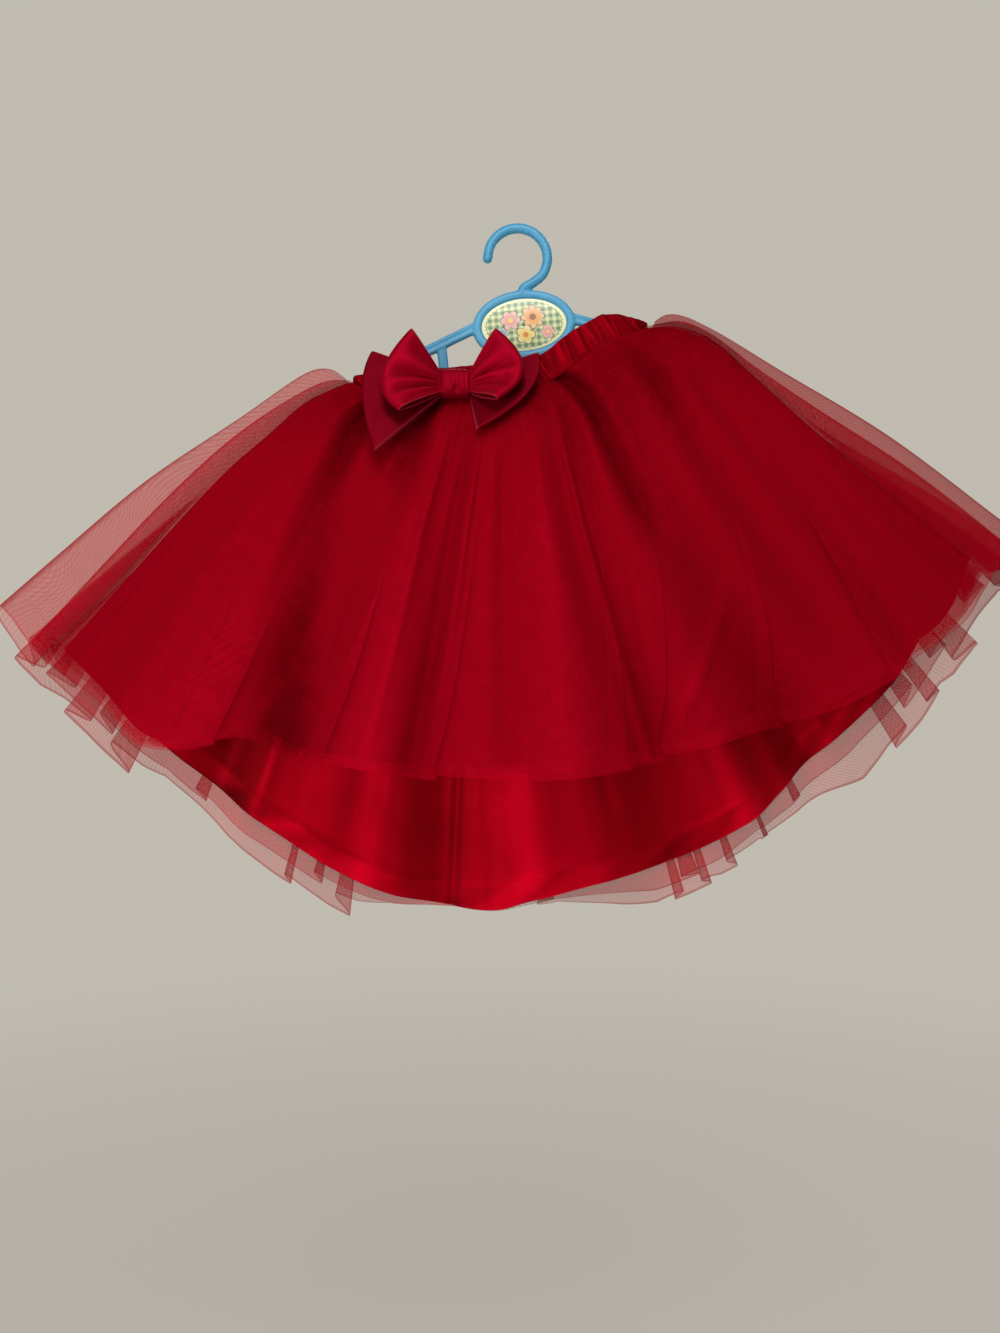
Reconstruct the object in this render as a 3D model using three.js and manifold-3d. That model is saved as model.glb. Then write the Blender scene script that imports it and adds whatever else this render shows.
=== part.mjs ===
// A child's circular satin skirt under two tulle overskirts, with a dipped back hem, a
// gathered elastic waistband and a double bow, hanging on a moulded child's hanger.
//
// Millimetres, +Z up. The origin is the underside of the hook's crown, where the hanger
// hangs. The hanger lies in the plane Y = 0. The skirt's front faces -Y and its back +Y.
//
// Every panel of the skirt shares one plan of columns and rows in X and Z: the satin takes
// the middle of it, and each overskirt is the layer beneath moved out, with one more column
// at each side fold and one more row at the hem. So the layers nest and never cross.

import * as THREE from 'three';
import { mergeVertices } from 'three/addons/utils/BufferGeometryUtils.js';
import Module from 'manifold-3d';

const wasm = await Module();
wasm.setup();

// ---- Driving dimensions ------------------------------------------------------------

const SEAM_GAP = 0.3; // between two pieces that are sewn together
const FOLD_HALF_GAP = SEAM_GAP / 2; // from Y = 0 to each panel at a side fold
const LAYER_GAP = 0.4; // between one layer of the skirt and the next

const LAYERS = [
  { name: 'satin', wall: 1.3, hemShare: 1, flare: 0 },
  { name: 'tulle_inner', wall: 1.05, hemShare: 0.955, flare: 0.1 },
  { name: 'tulle_outer', wall: 1.05, hemShare: 0.93, flare: 0.15 },
];
const STEEPEST_WALL = 1.6; // most that a sloping wall grows along Y, as a share of its own

const COLUMNS = 39; // across the satin, from side fold to side fold
const ROWS = 7; // from waist to hem
const ROW_CROWDING = 1.5; // above 1, rows crowd towards the waist
const EDGE_RISE = 5.5; // the panels open to full depth this far inside a side fold
const FLUTE_GROWTH = 0.8; // below 1, the long folds deepen soonest near the waist

const GATHER_DEPTH = 1.5; // small gathers under the waistband
const GATHER_REACH = 0.34; // they fade out at this share of the way to the hem
const GATHER_SHAPE = [0, 1, 0.45]; // one gather over three columns

const BAND = { left: -105.6, right: 82.9, wall: 1.6, stations: 120 };
const BAND_ENDS = { sharpness: 0.7, inset: 2.5 }; // the ring's depth, and where the panels start
const WAIST_SHARPNESS = 0.8; // below 1, the opening under the band keeps its depth near its ends
const RUCHE = { height: 0.9, edge: 0.4, from: 0.3, to: 0.7, even: 0.8, uneven: 0.2, phase: 1.7 };

const HOOK = { radius: 19.4, rod: 3.1, tip: 187, leave: -38 };
const STEM = { turn: -62, bend: 0.6, lean: 2.2 }; // how the hook's rod comes round to its foot
const HANGER_TILT = 5.5; // degrees, left arm down
const OVAL = { drop: 44, halfWidth: 33.5, halfHeight: 22.75, rim: 6.1, thick: 6, bevel: 0.8 };
const ARM = { root: 29, tip: 134, rootDrop: 40.8, slope: 0.436, height: 5.4, thick: 5.4, bevel: 0.8 };
const PEG = { at: 54.5, end: 76, width: 5, thick: 4.6, bevel: 0.6 };
const BADGE = { thick: 2.4, recess: 1.2 };
const FACETS = { hookTurns: 9, hookSteps: 38, hookSides: 5, capRings: 6, oval: 18, barEnd: 3, knot: 4 };

const BOW = { x: -39.6, y: -22, z: -103.7, lean: -13, wall: 1.05, pinch: 7, pinchDepth: 0.9 };
const LOOP = { swelling: 0.7, reaching: 1.5 }; // how a loop fills out and comes forward of the knot
const KNOT = { width: 17.5, height: 18, depth: 11, wall: 1.3, corner: 3.2, clear: 0.5 };

// ---- Tables ------------------------------------------------------------------------

// The waistband from its left end to its right: its top edge in front and behind, and its
// height, which bunches up where each end rides on a hanger arm.
const BAND_RUN = [
  { x: -105.6, frontTop: -94.3, backTop: -94.3, height: 5.5 },
  { x: -90, frontTop: -93.2, backTop: -95.5, height: 14 },
  { x: -65, frontTop: -92, backTop: -97, height: 19.5 },
  { x: -40, frontTop: -90, backTop: -97, height: 20 },
  { x: -12, frontTop: -87, backTop: -95, height: 20 },
  { x: 14, frontTop: -82, backTop: -89, height: 21 },
  { x: 35, frontTop: -66.5, backTop: -77, height: 23 },
  { x: 55, frontTop: -56.2, backTop: -66, height: 19 },
  { x: 71, frontTop: -56.6, backTop: -61, height: 12 },
  { x: 82.9, frontTop: -59.2, backTop: -59.2, height: 5.5 },
];

// Where the layers' top edge turns under each end of the waistband.
const BAND_CORNER = { left: { x: -108.7, z: -100.6 }, right: { x: 86, z: -65.6 } };

// The side folds of each layer, from the waistband's end over the hanger arm to the hem.
const SIDE_FOLDS = {
  satin: {
    left: [
      { x: -109.8, z: -97 },
      { x: -122, z: -102 },
      { x: -137.5, z: -109.8 },
      { x: -162, z: -131 },
      { x: -192, z: -157.5 },
      { x: -294.8, z: -270.4 },
    ],
    right: [
      { x: 87.6, z: -61.6 },
      { x: 101.7, z: -60.6 },
      { x: 125.1, z: -68.5 },
      { x: 153, z: -92.5 },
      { x: 194.7, z: -130 },
      { x: 294.1, z: -211.3 },
    ],
  },
  tulle_inner: {
    left: [
      { x: -111.4, z: -95.2 },
      { x: -124, z: -96 },
      { x: -139.6, z: -102.7 },
      { x: -180.6, z: -129.2 },
      { x: -223.3, z: -167 },
      { x: -270.9, z: -216.8 },
      { x: -315.1, z: -264.6 },
    ],
    right: [
      { x: 88.4, z: -59.4 },
      { x: 106, z: -57 },
      { x: 126, z: -65.4 },
      { x: 155, z: -87 },
      { x: 191.2, z: -111.5 },
      { x: 259, z: -156 },
      { x: 335.1, z: -215.8 },
    ],
  },
  tulle_outer: {
    left: [
      { x: -113, z: -93.4 },
      { x: -119.6, z: -89 },
      { x: -127, z: -87.8 },
      { x: -137, z: -90.6 },
      { x: -180.6, z: -120 },
      { x: -241.7, z: -161 },
      { x: -297, z: -207.4 },
      { x: -338, z: -243 },
    ],
    right: [
      { x: 89.2, z: -57.2 },
      { x: 96, z: -53 },
      { x: 106, z: -53.2 },
      { x: 126, z: -62 },
      { x: 169.7, z: -88.3 },
      { x: 240.8, z: -131.3 },
      { x: 313.6, z: -185.9 },
      { x: 343, z: -208 },
    ],
  },
};

// Folds that run from waist to hem, as shares of the way across. A positive lift stands
// away from the body and a negative one is a valley.
const FRONT = {
  name: 'front',
  out: -1,
  bandTop: 'frontTop',
  waistDepth: { side: 5, middle: 6 },
  hemDepth: { middle: 68, roundness: 1.3 },
  drops: [
    { across: 0, tulle_inner: 8, tulle_outer: 6 },
    { across: 0.2, tulle_inner: 5, tulle_outer: 2.5 },
    { across: 0.8, tulle_inner: 5, tulle_outer: 2.5 },
    { across: 1, tulle_inner: 8, tulle_outer: 6 },
  ],
  hem: [
    { x: -294.8, z: -270.4 },
    { x: -262, z: -300 },
    { x: -231, z: -325 },
    { x: -199, z: -326 },
    { x: -166, z: -320 },
    { x: -134, z: -331 },
    { x: -96, z: -336 },
    { x: -56, z: -340 },
    { x: 35, z: -337 },
    { x: 109, z: -323 },
    { x: 142, z: -311 },
    { x: 171, z: -307 },
    { x: 219, z: -285 },
    { x: 279, z: -252 },
    { x: 294.1, z: -211.3 },
  ],
  flutes: [
    { waist: 0.14, hem: 0.15, width: 0.11, lift: 7 },
    { waist: 0.26, hem: 0.265, width: 0.09, lift: -9 },
    { waist: 0.34, hem: 0.345, width: 0.07, lift: 8 },
    { waist: 0.4, hem: 0.385, width: 0.036, lift: -13 },
    { waist: 0.47, hem: 0.468, width: 0.13, lift: 5 },
    { waist: 0.57, hem: 0.557, width: 0.06, lift: -9 },
    { waist: 0.64, hem: 0.653, width: 0.08, lift: 8 },
    { waist: 0.75, hem: 0.73, width: 0.07, lift: -11 },
    { waist: 0.85, hem: 0.832, width: 0.13, lift: 6 },
  ],
};

const BACK = {
  name: 'back',
  out: 1,
  bandTop: 'backTop',
  waistDepth: { side: 5, middle: 3.5 },
  hemDepth: { middle: 18, roundness: 0.7 },
  drops: [
    { across: 0, tulle_inner: 12, tulle_outer: 9 },
    { across: 0.08, tulle_inner: 13, tulle_outer: 9 },
    { across: 0.18, tulle_inner: 9, tulle_outer: 6 },
    { across: 0.26, tulle_inner: 12, tulle_outer: 9 },
    { across: 0.33, tulle_inner: 11, tulle_outer: 9 },
    { across: 0.38, tulle_inner: 3, tulle_outer: 2 },
    { across: 0.43, tulle_inner: 1.2, tulle_outer: 1.2 },
    { across: 0.5, tulle_inner: 1.2, tulle_outer: 1.2 },
    { across: 0.55, tulle_inner: 6, tulle_outer: 6 },
    { across: 0.62, tulle_inner: 14, tulle_outer: 11 },
    { across: 0.68, tulle_inner: 11, tulle_outer: 9 },
    { across: 0.74, tulle_inner: 8, tulle_outer: 7 },
    { across: 0.82, tulle_inner: 13, tulle_outer: 11 },
    { across: 0.88, tulle_inner: 10, tulle_outer: 8 },
    { across: 0.95, tulle_inner: 14, tulle_outer: 12 },
    { across: 1, tulle_inner: 12, tulle_outer: 10 },
  ],
  hem: [
    { x: -294.8, z: -270.4 },
    { x: -235, z: -331.5 },
    { x: -200, z: -363.5 },
    { x: -151, z: -397.5 },
    { x: -112, z: -421 },
    { x: -65, z: -438 },
    { x: -15, z: -443.5 },
    { x: 10, z: -436 },
    { x: 82, z: -418 },
    { x: 122, z: -403 },
    { x: 162, z: -377.5 },
    { x: 188, z: -351 },
    { x: 227, z: -314 },
    { x: 251, z: -290 },
    { x: 272, z: -258 },
    { x: 294.1, z: -211.3 },
  ],
  flutes: [
    { waist: 0.17, hem: 0.165, width: 0.06, lift: 6 },
    { waist: 0.28, hem: 0.28, width: 0.08, lift: -4 },
    { waist: 0.41, hem: 0.41, width: 0.055, lift: 9 },
    { waist: 0.5, hem: 0.5, width: 0.06, lift: -5 },
    { waist: 0.6, hem: 0.605, width: 0.06, lift: 7 },
    { waist: 0.68, hem: 0.68, width: 0.05, lift: -4 },
    { waist: 0.76, hem: 0.755, width: 0.05, lift: 7 },
  ],
};

// The overskirts' own pleats: each takes this many columns, stands this far out at the hem
// and hangs this share longer there. The row repeats across the panel.
const PLEATS = {
  tulle_inner: [
    { columns: 5, lift: 2.5, longer: 0.2 },
    { columns: 4, lift: 3.5, longer: 0.5 },
    { columns: 6, lift: 2, longer: 0.1 },
    { columns: 3, lift: 3, longer: 0.4 },
  ],
  tulle_outer: [
    { columns: 4, lift: 5, longer: 0.6 },
    { columns: 6, lift: 3, longer: 0.2 },
    { columns: 3, lift: 4.5, longer: 0.7 },
    { columns: 5, lift: 3.5, longer: 0.3 },
    { columns: 4, lift: 5.5, longer: 0.5 },
  ],
};

// The bow's loops from the middle of the knot: the end fold of each lobe by its top, middle
// and bottom, and how the ribbon stands forward (front), back and ahead of the knot (reach).
const BOW_LOOPS = [
  {
    name: 'bow_lower',
    layer: 2.2,
    front: 2.5,
    back: 2,
    reach: 8,
    crease: 1.2,
    right: { top: [52, 18.5], middle: [46, -8], bottom: [13.5, -33.5] },
    left: { top: [-52, 19.5], middle: [-57.5, -9], bottom: [-48.5, -47.5] },
  },
  {
    name: 'bow_upper',
    layer: -2.2,
    front: 9,
    back: 1.5,
    reach: 12,
    crease: 2.2,
    right: { top: [25.5, 30], middle: [42.5, 4], bottom: [26.5, -17.5] },
    left: { top: [-27, 30], middle: [-44.8, -2.5], bottom: [-33.5, -25] },
  },
];
const BOW_ARC_STEPS = 11; // from the front of the knot round a lobe to its back
const BOW_ACROSS = 6; // across the ribbon

// ---- Numbers and curves ------------------------------------------------------------

const radians = THREE.MathUtils.degToRad;
const mix = THREE.MathUtils.lerp;
const ease = (share) => THREE.MathUtils.smoothstep(share, 0, 1);

/** A soft bump, 1 at 0 and 0 from -1 and 1 outwards. */
const bump = (at) => (Math.abs(at) < 1 ? Math.cos((Math.PI * at) / 2) ** 2 : 0);

/** A smooth curve in X and Z through a table's rows, measured along its length. */
const curveThrough = (rows) =>
  new THREE.CatmullRomCurve3(
    rows.map(({ x, z }) => new THREE.Vector3(x, 0, z)),
    false,
    'centripetal',
  );

/** A column of the waistband's table at x, smooth from row to row. */
function bandAt(column, x) {
  const last = BAND_RUN.length - 1;
  let row = 0;
  while (row < last - 1 && BAND_RUN[row + 1].x < x) row += 1;
  const slope = (k) => {
    const [before, after] = [BAND_RUN[Math.max(k - 1, 0)], BAND_RUN[Math.min(k + 1, last)]];
    return (after[column] - before[column]) / (after.x - before.x);
  };
  const [from, to] = [BAND_RUN[row], BAND_RUN[row + 1]];
  const span = to.x - from.x;
  const t = THREE.MathUtils.clamp((x - from.x) / span, 0, 1);
  return (
    (2 * t ** 3 - 3 * t ** 2 + 1) * from[column] +
    (t ** 3 - 2 * t ** 2 + t) * span * slope(row) +
    (3 * t ** 2 - 2 * t ** 3) * to[column] +
    (t ** 3 - t ** 2) * span * slope(row + 1)
  );
}

// ---- Closed solids from grids of points --------------------------------------------

/** A geometry of indexed triangles, turned so that its faces point out. */
function closedGeometry(points, triangles) {
  let volume = 0;
  for (let k = 0; k < triangles.length; k += 3) {
    const [a, b, c] = [0, 1, 2].map((corner) => points[triangles[k + corner]]);
    volume += a.dot(new THREE.Vector3().crossVectors(b, c));
  }
  const geometry = new THREE.BufferGeometry().setFromPoints(points);
  geometry.setIndex(volume > 0 ? triangles : triangles.toReversed());
  return geometry;
}

/** The two triangles of a quad, cut along its a-c diagonal. */
const quad = (a, b, c, d) => [a, b, c, a, c, d];

/** The wall between two grids of the same size, each grid[column][row], closed all round. */
function wallBetween(inner, outer) {
  const [columns, rows] = [inner.length, inner[0].length];
  const at = (face, c, r) => (face * columns + c) * rows + r;
  const triangles = [];
  for (let c = 0; c < columns - 1; c += 1) {
    for (let r = 0; r < rows - 1; r += 1) {
      triangles.push(...quad(at(1, c, r), at(1, c + 1, r), at(1, c + 1, r + 1), at(1, c, r + 1)));
      triangles.push(...quad(at(0, c, r), at(0, c, r + 1), at(0, c + 1, r + 1), at(0, c + 1, r)));
    }
  }
  const rim = [];
  for (let c = 0; c < columns - 1; c += 1) rim.push([c, 0]);
  for (let r = 0; r < rows - 1; r += 1) rim.push([columns - 1, r]);
  for (let c = columns - 1; c > 0; c -= 1) rim.push([c, rows - 1]);
  for (let r = rows - 1; r > 0; r -= 1) rim.push([0, r]);
  rim.forEach((here, k) => {
    const next = rim[(k + 1) % rim.length];
    triangles.push(...quad(at(0, ...here), at(0, ...next), at(1, ...next), at(1, ...here)));
  });
  return closedGeometry([...inner.flat(), ...outer.flat()], triangles);
}

/** A solid through closed sections of the same number of points, round a closed loop. */
function loopThrough(sections) {
  const corners = sections[0].length;
  const at = (k, corner) => (k % sections.length) * corners + (corner % corners);
  const triangles = [];
  sections.forEach((_, k) => {
    for (let corner = 0; corner < corners; corner += 1) {
      triangles.push(
        ...quad(at(k, corner), at(k + 1, corner), at(k + 1, corner + 1), at(k, corner + 1)),
      );
    }
  });
  return closedGeometry(sections.flat(), triangles);
}

/** A three.js geometry as a manifold solid, with its shared corners merged. */
function solidOf(geometry) {
  const bare = geometry.clone();
  bare.deleteAttribute('normal');
  bare.deleteAttribute('uv');
  const merged = mergeVertices(bare, 1e-4);
  return new wasm.Manifold(
    new wasm.Mesh({
      numProp: 3,
      vertProperties: new Float32Array(merged.attributes.position.array),
      triVerts: new Uint32Array(merged.index.array),
    }),
  );
}

/** Several overlapping geometries joined into one. */
function joined(geometries) {
  const mesh = geometries.map(solidOf).reduce((all, solid) => all.add(solid)).getMesh();
  const geometry = new THREE.BufferGeometry();
  geometry.setAttribute('position', new THREE.BufferAttribute(mesh.vertProperties, 3));
  geometry.setIndex(new THREE.BufferAttribute(mesh.triVerts, 1));
  return geometry;
}

// ---- Hanger ------------------------------------------------------------------------
// Drawn upright about the middle of its hook, with x across and z up.

/** A flat outline in x and z, given a thickness centred on Y and a small bevel. */
function plate(shape, thick, bevel, segments) {
  const geometry = new THREE.ExtrudeGeometry(shape, {
    depth: thick - 2 * bevel,
    bevelEnabled: bevel > 0,
    bevelThickness: bevel,
    bevelSize: bevel,
    bevelOffset: -bevel,
    bevelSegments: 1,
    curveSegments: segments,
  });
  geometry.translate(0, 0, -(thick - 2 * bevel) / 2);
  return geometry.rotateX(Math.PI / 2);
}

/** The round hook and the short stem that leads from it to the oval frame. */
function hookGeometry() {
  const at = (degrees, radius) =>
    new THREE.Vector3(radius * Math.cos(radians(degrees)), 0, radius * Math.sin(radians(degrees)));
  const path = Array.from({ length: FACETS.hookTurns + 1 }, (_, k) =>
    at(mix(HOOK.tip, HOOK.leave, k / FACETS.hookTurns), HOOK.radius),
  );
  path.push(at(STEM.turn, HOOK.radius - STEM.bend));
  path.push(new THREE.Vector3(STEM.lean, 0, -HOOK.radius - STEM.bend));
  path.push(new THREE.Vector3(0, 0, OVAL.halfHeight - OVAL.rim / 2 - OVAL.drop));
  const round = new THREE.Shape().absarc(0, 0, HOOK.rod, 0, 2 * Math.PI);
  const rod = new THREE.ExtrudeGeometry(round, {
    steps: FACETS.hookSteps,
    curveSegments: FACETS.hookSides,
    bevelEnabled: false,
    extrudePath: new THREE.CatmullRomCurve3(path, false, 'centripetal'),
  });
  const end = new THREE.SphereGeometry(HOOK.rod, 2 * FACETS.hookSides, FACETS.capRings);
  return [rod, end.translate(path[0].x, 0, path[0].z)];
}

/** The oval frame, open in the middle for the badge. */
function ovalGeometry() {
  const frame = new THREE.Shape();
  frame.absellipse(0, 0, OVAL.halfWidth, OVAL.halfHeight, 0, 2 * Math.PI);
  const hole = new THREE.Path();
  hole.absellipse(0, 0, OVAL.halfWidth - OVAL.rim, OVAL.halfHeight - OVAL.rim, 0, 2 * Math.PI);
  frame.holes.push(hole);
  return plate(frame, OVAL.thick, OVAL.bevel, FACETS.oval).translate(0, 0, -OVAL.drop);
}

/** A bar with one rounded end, from (0, 0) along x to length, in the outline's plane. */
function roundedBar(length, height) {
  const half = height / 2;
  const bar = new THREE.Shape();
  bar.moveTo(0, -half);
  bar.lineTo(length - half, -half);
  bar.absarc(length - half, 0, half, -Math.PI / 2, Math.PI / 2);
  bar.lineTo(0, half);
  bar.closePath();
  return bar;
}

/** One arm and its peg. Side is 1 for the right and -1 for the left. */
function armGeometry(side) {
  const fall = Math.atan(ARM.slope);
  const middle = (x) => -ARM.rootDrop - ARM.slope * (x - ARM.root) - ARM.height / 2;
  const armOutline = roundedBar((ARM.tip - ARM.root) / Math.cos(fall), ARM.height);
  const arm = plate(armOutline, ARM.thick, ARM.bevel, FACETS.barEnd);
  arm.rotateY(fall).translate(ARM.root, 0, middle(ARM.root));
  const pegOutline = roundedBar(PEG.end + middle(PEG.at), PEG.width);
  const peg = plate(pegOutline, PEG.thick, PEG.bevel, FACETS.barEnd);
  peg.rotateY(Math.PI / 2).translate(PEG.at, 0, middle(PEG.at));
  return side > 0 ? [arm, peg] : [arm, peg].map((geometry) => geometry.rotateZ(Math.PI));
}

const hangerGeometry = () =>
  joined([...hookGeometry(), ovalGeometry(), ...armGeometry(1), ...armGeometry(-1)]);

/** The oval plate that sits in the frame, a little behind the frame's face. */
function badgeGeometry() {
  const plateShape = new THREE.Shape();
  const [halfWidth, halfHeight] = [OVAL.halfWidth, OVAL.halfHeight].map(
    (half) => half - OVAL.rim - SEAM_GAP,
  );
  plateShape.absellipse(0, 0, halfWidth, halfHeight, 0, 2 * Math.PI);
  const face = -OVAL.thick / 2 + BADGE.recess;
  const geometry = plate(plateShape, BADGE.thick, 0, FACETS.oval);
  return geometry.translate(0, face + BADGE.thick / 2, -OVAL.drop);
}

// ---- Waistband ---------------------------------------------------------------------

/** Half the skirt's opening at the waist, from Y = 0, at a share of the way across. */
const waistDepth = (panel, across) =>
  panel.waistDepth.side + panel.waistDepth.middle * Math.sin(Math.PI * across) ** WAIST_SHARPNESS;

/** Evenly spaced points round the flattened ring of the waistband's inner face. */
function bandStations() {
  const outline = [];
  const fine = 720;
  for (let k = 0; k < fine; k += 1) {
    const turn = (2 * Math.PI * k) / fine;
    const across = (1 - Math.cos(turn)) / 2;
    const panel = turn < Math.PI ? FRONT : BACK;
    const depth = panel.waistDepth.side + panel.waistDepth.middle;
    const y = panel.out * depth * Math.abs(Math.sin(turn)) ** BAND_ENDS.sharpness;
    outline.push(new THREE.Vector3(mix(BAND.left, BAND.right, across), y, 0));
  }
  const ring = new THREE.CatmullRomCurve3(outline, true, 'centripetal');
  ring.arcLengthDivisions = 4 * fine;
  return Array.from({ length: BAND.stations }, (_, k) => ring.getPointAt(k / BAND.stations));
}

/** The ruched ring: a plain inside, and gathers raised on the outside from edge to edge. */
function waistbandGeometry() {
  const stations = bandStations();
  const sections = stations.map((point, k) => {
    const before = stations[(k + stations.length - 1) % stations.length];
    const after = stations[(k + 1) % stations.length];
    const along = after.clone().sub(before).normalize();
    const out = new THREE.Vector3(along.y, -along.x, 0);
    const top = bandAt(point.y < 0 ? 'frontTop' : 'backTop', point.x);
    const height = bandAt('height', point.x);
    const share = RUCHE.even + RUCHE.uneven * Math.sin(k * RUCHE.phase);
    const ruche = RUCHE.height * GATHER_SHAPE[k % GATHER_SHAPE.length] * share;
    const outer = (down, raised) =>
      point
        .clone()
        .addScaledVector(out, BAND.wall + raised * ruche)
        .setZ(top - down * height);
    return [
      point.clone().setZ(top),
      outer(0, RUCHE.edge),
      outer(RUCHE.from, 1),
      outer(RUCHE.to, 1),
      outer(1, RUCHE.edge),
      point.clone().setZ(top - height),
    ];
  });
  return loopThrough(sections);
}

// ---- Skirt layers ------------------------------------------------------------------

const rowShare = (row) => Math.min(row / ROWS, 1) ** ROW_CROWDING;
const columnShare = (column) => THREE.MathUtils.clamp(column / COLUMNS, 0, 1);

/** The layers' top edge at a column, just under the waistband and round its ends. */
function waistPoint(panel, column, folds) {
  if (column === 0) return folds.left.getPointAt(0);
  if (column === COLUMNS) return folds.right.getPointAt(0);
  if (column === 1) return new THREE.Vector3(BAND_CORNER.left.x, 0, BAND_CORNER.left.z);
  if (column === COLUMNS - 1) {
    return new THREE.Vector3(BAND_CORNER.right.x, 0, BAND_CORNER.right.z);
  }
  const [from, to] = [BAND.left + BAND_ENDS.inset, BAND.right - BAND_ENDS.inset];
  const x = mix(from, to, (column - 2) / (COLUMNS - 4));
  const lowerEdge = bandAt(panel.bandTop, x) - bandAt('height', x);
  return new THREE.Vector3(x, 0, lowerEdge - SEAM_GAP);
}

/** How far below the layer beneath it an overskirt hangs, before its own pleats. */
function dropAt(panel, layer, across) {
  const { drops } = panel;
  const next = Math.max(1, drops.findIndex((row) => row.across >= across));
  const [from, to] = [drops[next - 1], drops[next]];
  const share = (across - from.across) / (to.across - from.across);
  return mix(from[layer.name], to[layer.name], share);
}

/** An overskirt's own pleat at a column: how far it stands out and how much longer it is. */
function pleatAt(layer, column) {
  const pleats = PLEATS[layer.name];
  let start = 0;
  for (let k = 0; start < COLUMNS; k += 1) {
    const pleat = pleats[k % pleats.length];
    if (column < start + pleat.columns) {
      const height = Math.sin((Math.PI * (column - start)) / pleat.columns) ** 2;
      return { lift: pleat.lift * height, longer: pleat.longer * height };
    }
    start += pleat.columns;
  }
  return { lift: 0, longer: 0 };
}

/** The shared plan of a panel: X and Z of every column and row, Y left at 0. */
function panelPlan(panel) {
  const hem = curveThrough(panel.hem);
  const folds = LAYERS.map(({ name }) => ({
    left: curveThrough(SIDE_FOLDS[name].left),
    right: curveThrough(SIDE_FOLDS[name].right),
  }));

  const satinPoint = (column, row) => {
    const [u, v] = [columnShare(column), rowShare(row)];
    const [satin] = folds;
    const waist = (c) => waistPoint(panel, c, satin);
    const between = (a, b, share) => a.clone().lerp(b, share);
    const down = between(waist(column), hem.getPointAt(u), v);
    const across = between(satin.left.getPointAt(v), satin.right.getPointAt(v), u);
    const corners = between(
      between(waist(0), waist(COLUMNS), u),
      between(hem.getPointAt(0), hem.getPointAt(1), u),
      v,
    );
    return down.add(across).sub(corners);
  };

  const plan = new Map();
  const key = (column, row) => `${column},${row}`;
  const put = (column, row, point) => plan.set(key(column, row), point);
  const get = (column, row) => plan.get(key(column, row));

  for (let column = 0; column <= COLUMNS; column += 1) {
    for (let row = 0; row <= ROWS; row += 1) put(column, row, satinPoint(column, row));
  }
  LAYERS.slice(1).forEach((layer, k) => {
    const level = k + 1;
    const bottom = ROWS + level;
    for (let row = 0; row <= bottom; row += 1) {
      const spare = (row - ROWS) / level;
      const share =
        row <= ROWS ? rowShare(row) * layer.hemShare : mix(layer.hemShare, 1, spare);
      put(-level, row, folds[level].left.getPointAt(share));
      put(COLUMNS + level, row, folds[level].right.getPointAt(share));
    }
    for (let column = 1 - level; column < COLUMNS + level; column += 1) {
      const edge = get(column, bottom - 1);
      const down = edge.clone().sub(get(column, ROWS - 1)).normalize();
      const pleat = pleatAt(layer, column);
      const drop = dropAt(panel, layer, columnShare(column)) * (1 + pleat.longer);
      put(column, bottom, edge.clone().addScaledVector(down, drop));
    }
  });
  return get;
}

/** How far the satin's inner face stands from Y = 0 at a column and row. */
function satinDepth(panel, plan, column, row) {
  const [u, v] = [columnShare(column), rowShare(row)];
  const toFold = Math.min(
    plan(column, row).distanceTo(plan(0, row)),
    plan(column, row).distanceTo(plan(COLUMNS, row)),
  );
  const opened = ease(Math.min(toFold / EDGE_RISE, 1));
  const hemDepth = panel.hemDepth.middle * Math.sin(Math.PI * u) ** panel.hemDepth.roundness;
  const flutes = panel.flutes.reduce((sum, flute) => {
    const middle = mix(flute.waist, flute.hem, v);
    return sum + flute.lift * v ** FLUTE_GROWTH * bump((u - middle) / flute.width);
  }, 0);
  const gather = GATHER_SHAPE[column % GATHER_SHAPE.length] * (1 - ease(v / GATHER_REACH));
  const body = mix(waistDepth(panel, u), hemDepth, v) + flutes + GATHER_DEPTH * gather;
  return FOLD_HALF_GAP + opened * body;
}

/** The depth of a layer's inner face, and its wall along Y, at every column and row. */
function layerDepths(panel, plan, level, under) {
  const layer = LAYERS[level];
  const [first, last, bottom] = [-level, COLUMNS + level, ROWS + level];
  const inner = new Map();
  const key = (column, row) => `${column},${row}`;
  for (let column = first; column <= last; column += 1) {
    for (let row = 0; row <= bottom; row += 1) {
      let depth;
      if (level === 0) {
        depth = satinDepth(panel, plan, column, row);
      } else if (column === first || column === last) {
        depth = FOLD_HALF_GAP;
      } else if (row === bottom) {
        const drop = dropAt(panel, layer, columnShare(column));
        depth = inner.get(key(column, row - 1)) + layer.flare * drop;
      } else {
        const grown = rowShare(row) * pleatAt(layer, column).lift;
        depth = under.outerDepth(column, row) + LAYER_GAP + grown;
      }
      inner.set(key(column, row), depth);
    }
  }
  const innerDepth = (column, row) => inner.get(key(column, row));
  const wall = (column, row) => {
    const [a, b] = [Math.max(column - 1, first), Math.min(column + 1, last)];
    const rise = innerDepth(b, row) - innerDepth(a, row);
    const steepness = Math.hypot(1, rise / plan(a, row).distanceTo(plan(b, row)));
    return layer.wall * Math.min(steepness, STEEPEST_WALL);
  };
  const outerDepth = (column, row) => innerDepth(column, row) + wall(column, row);
  return { first, last, bottom, innerDepth, outerDepth };
}

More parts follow.
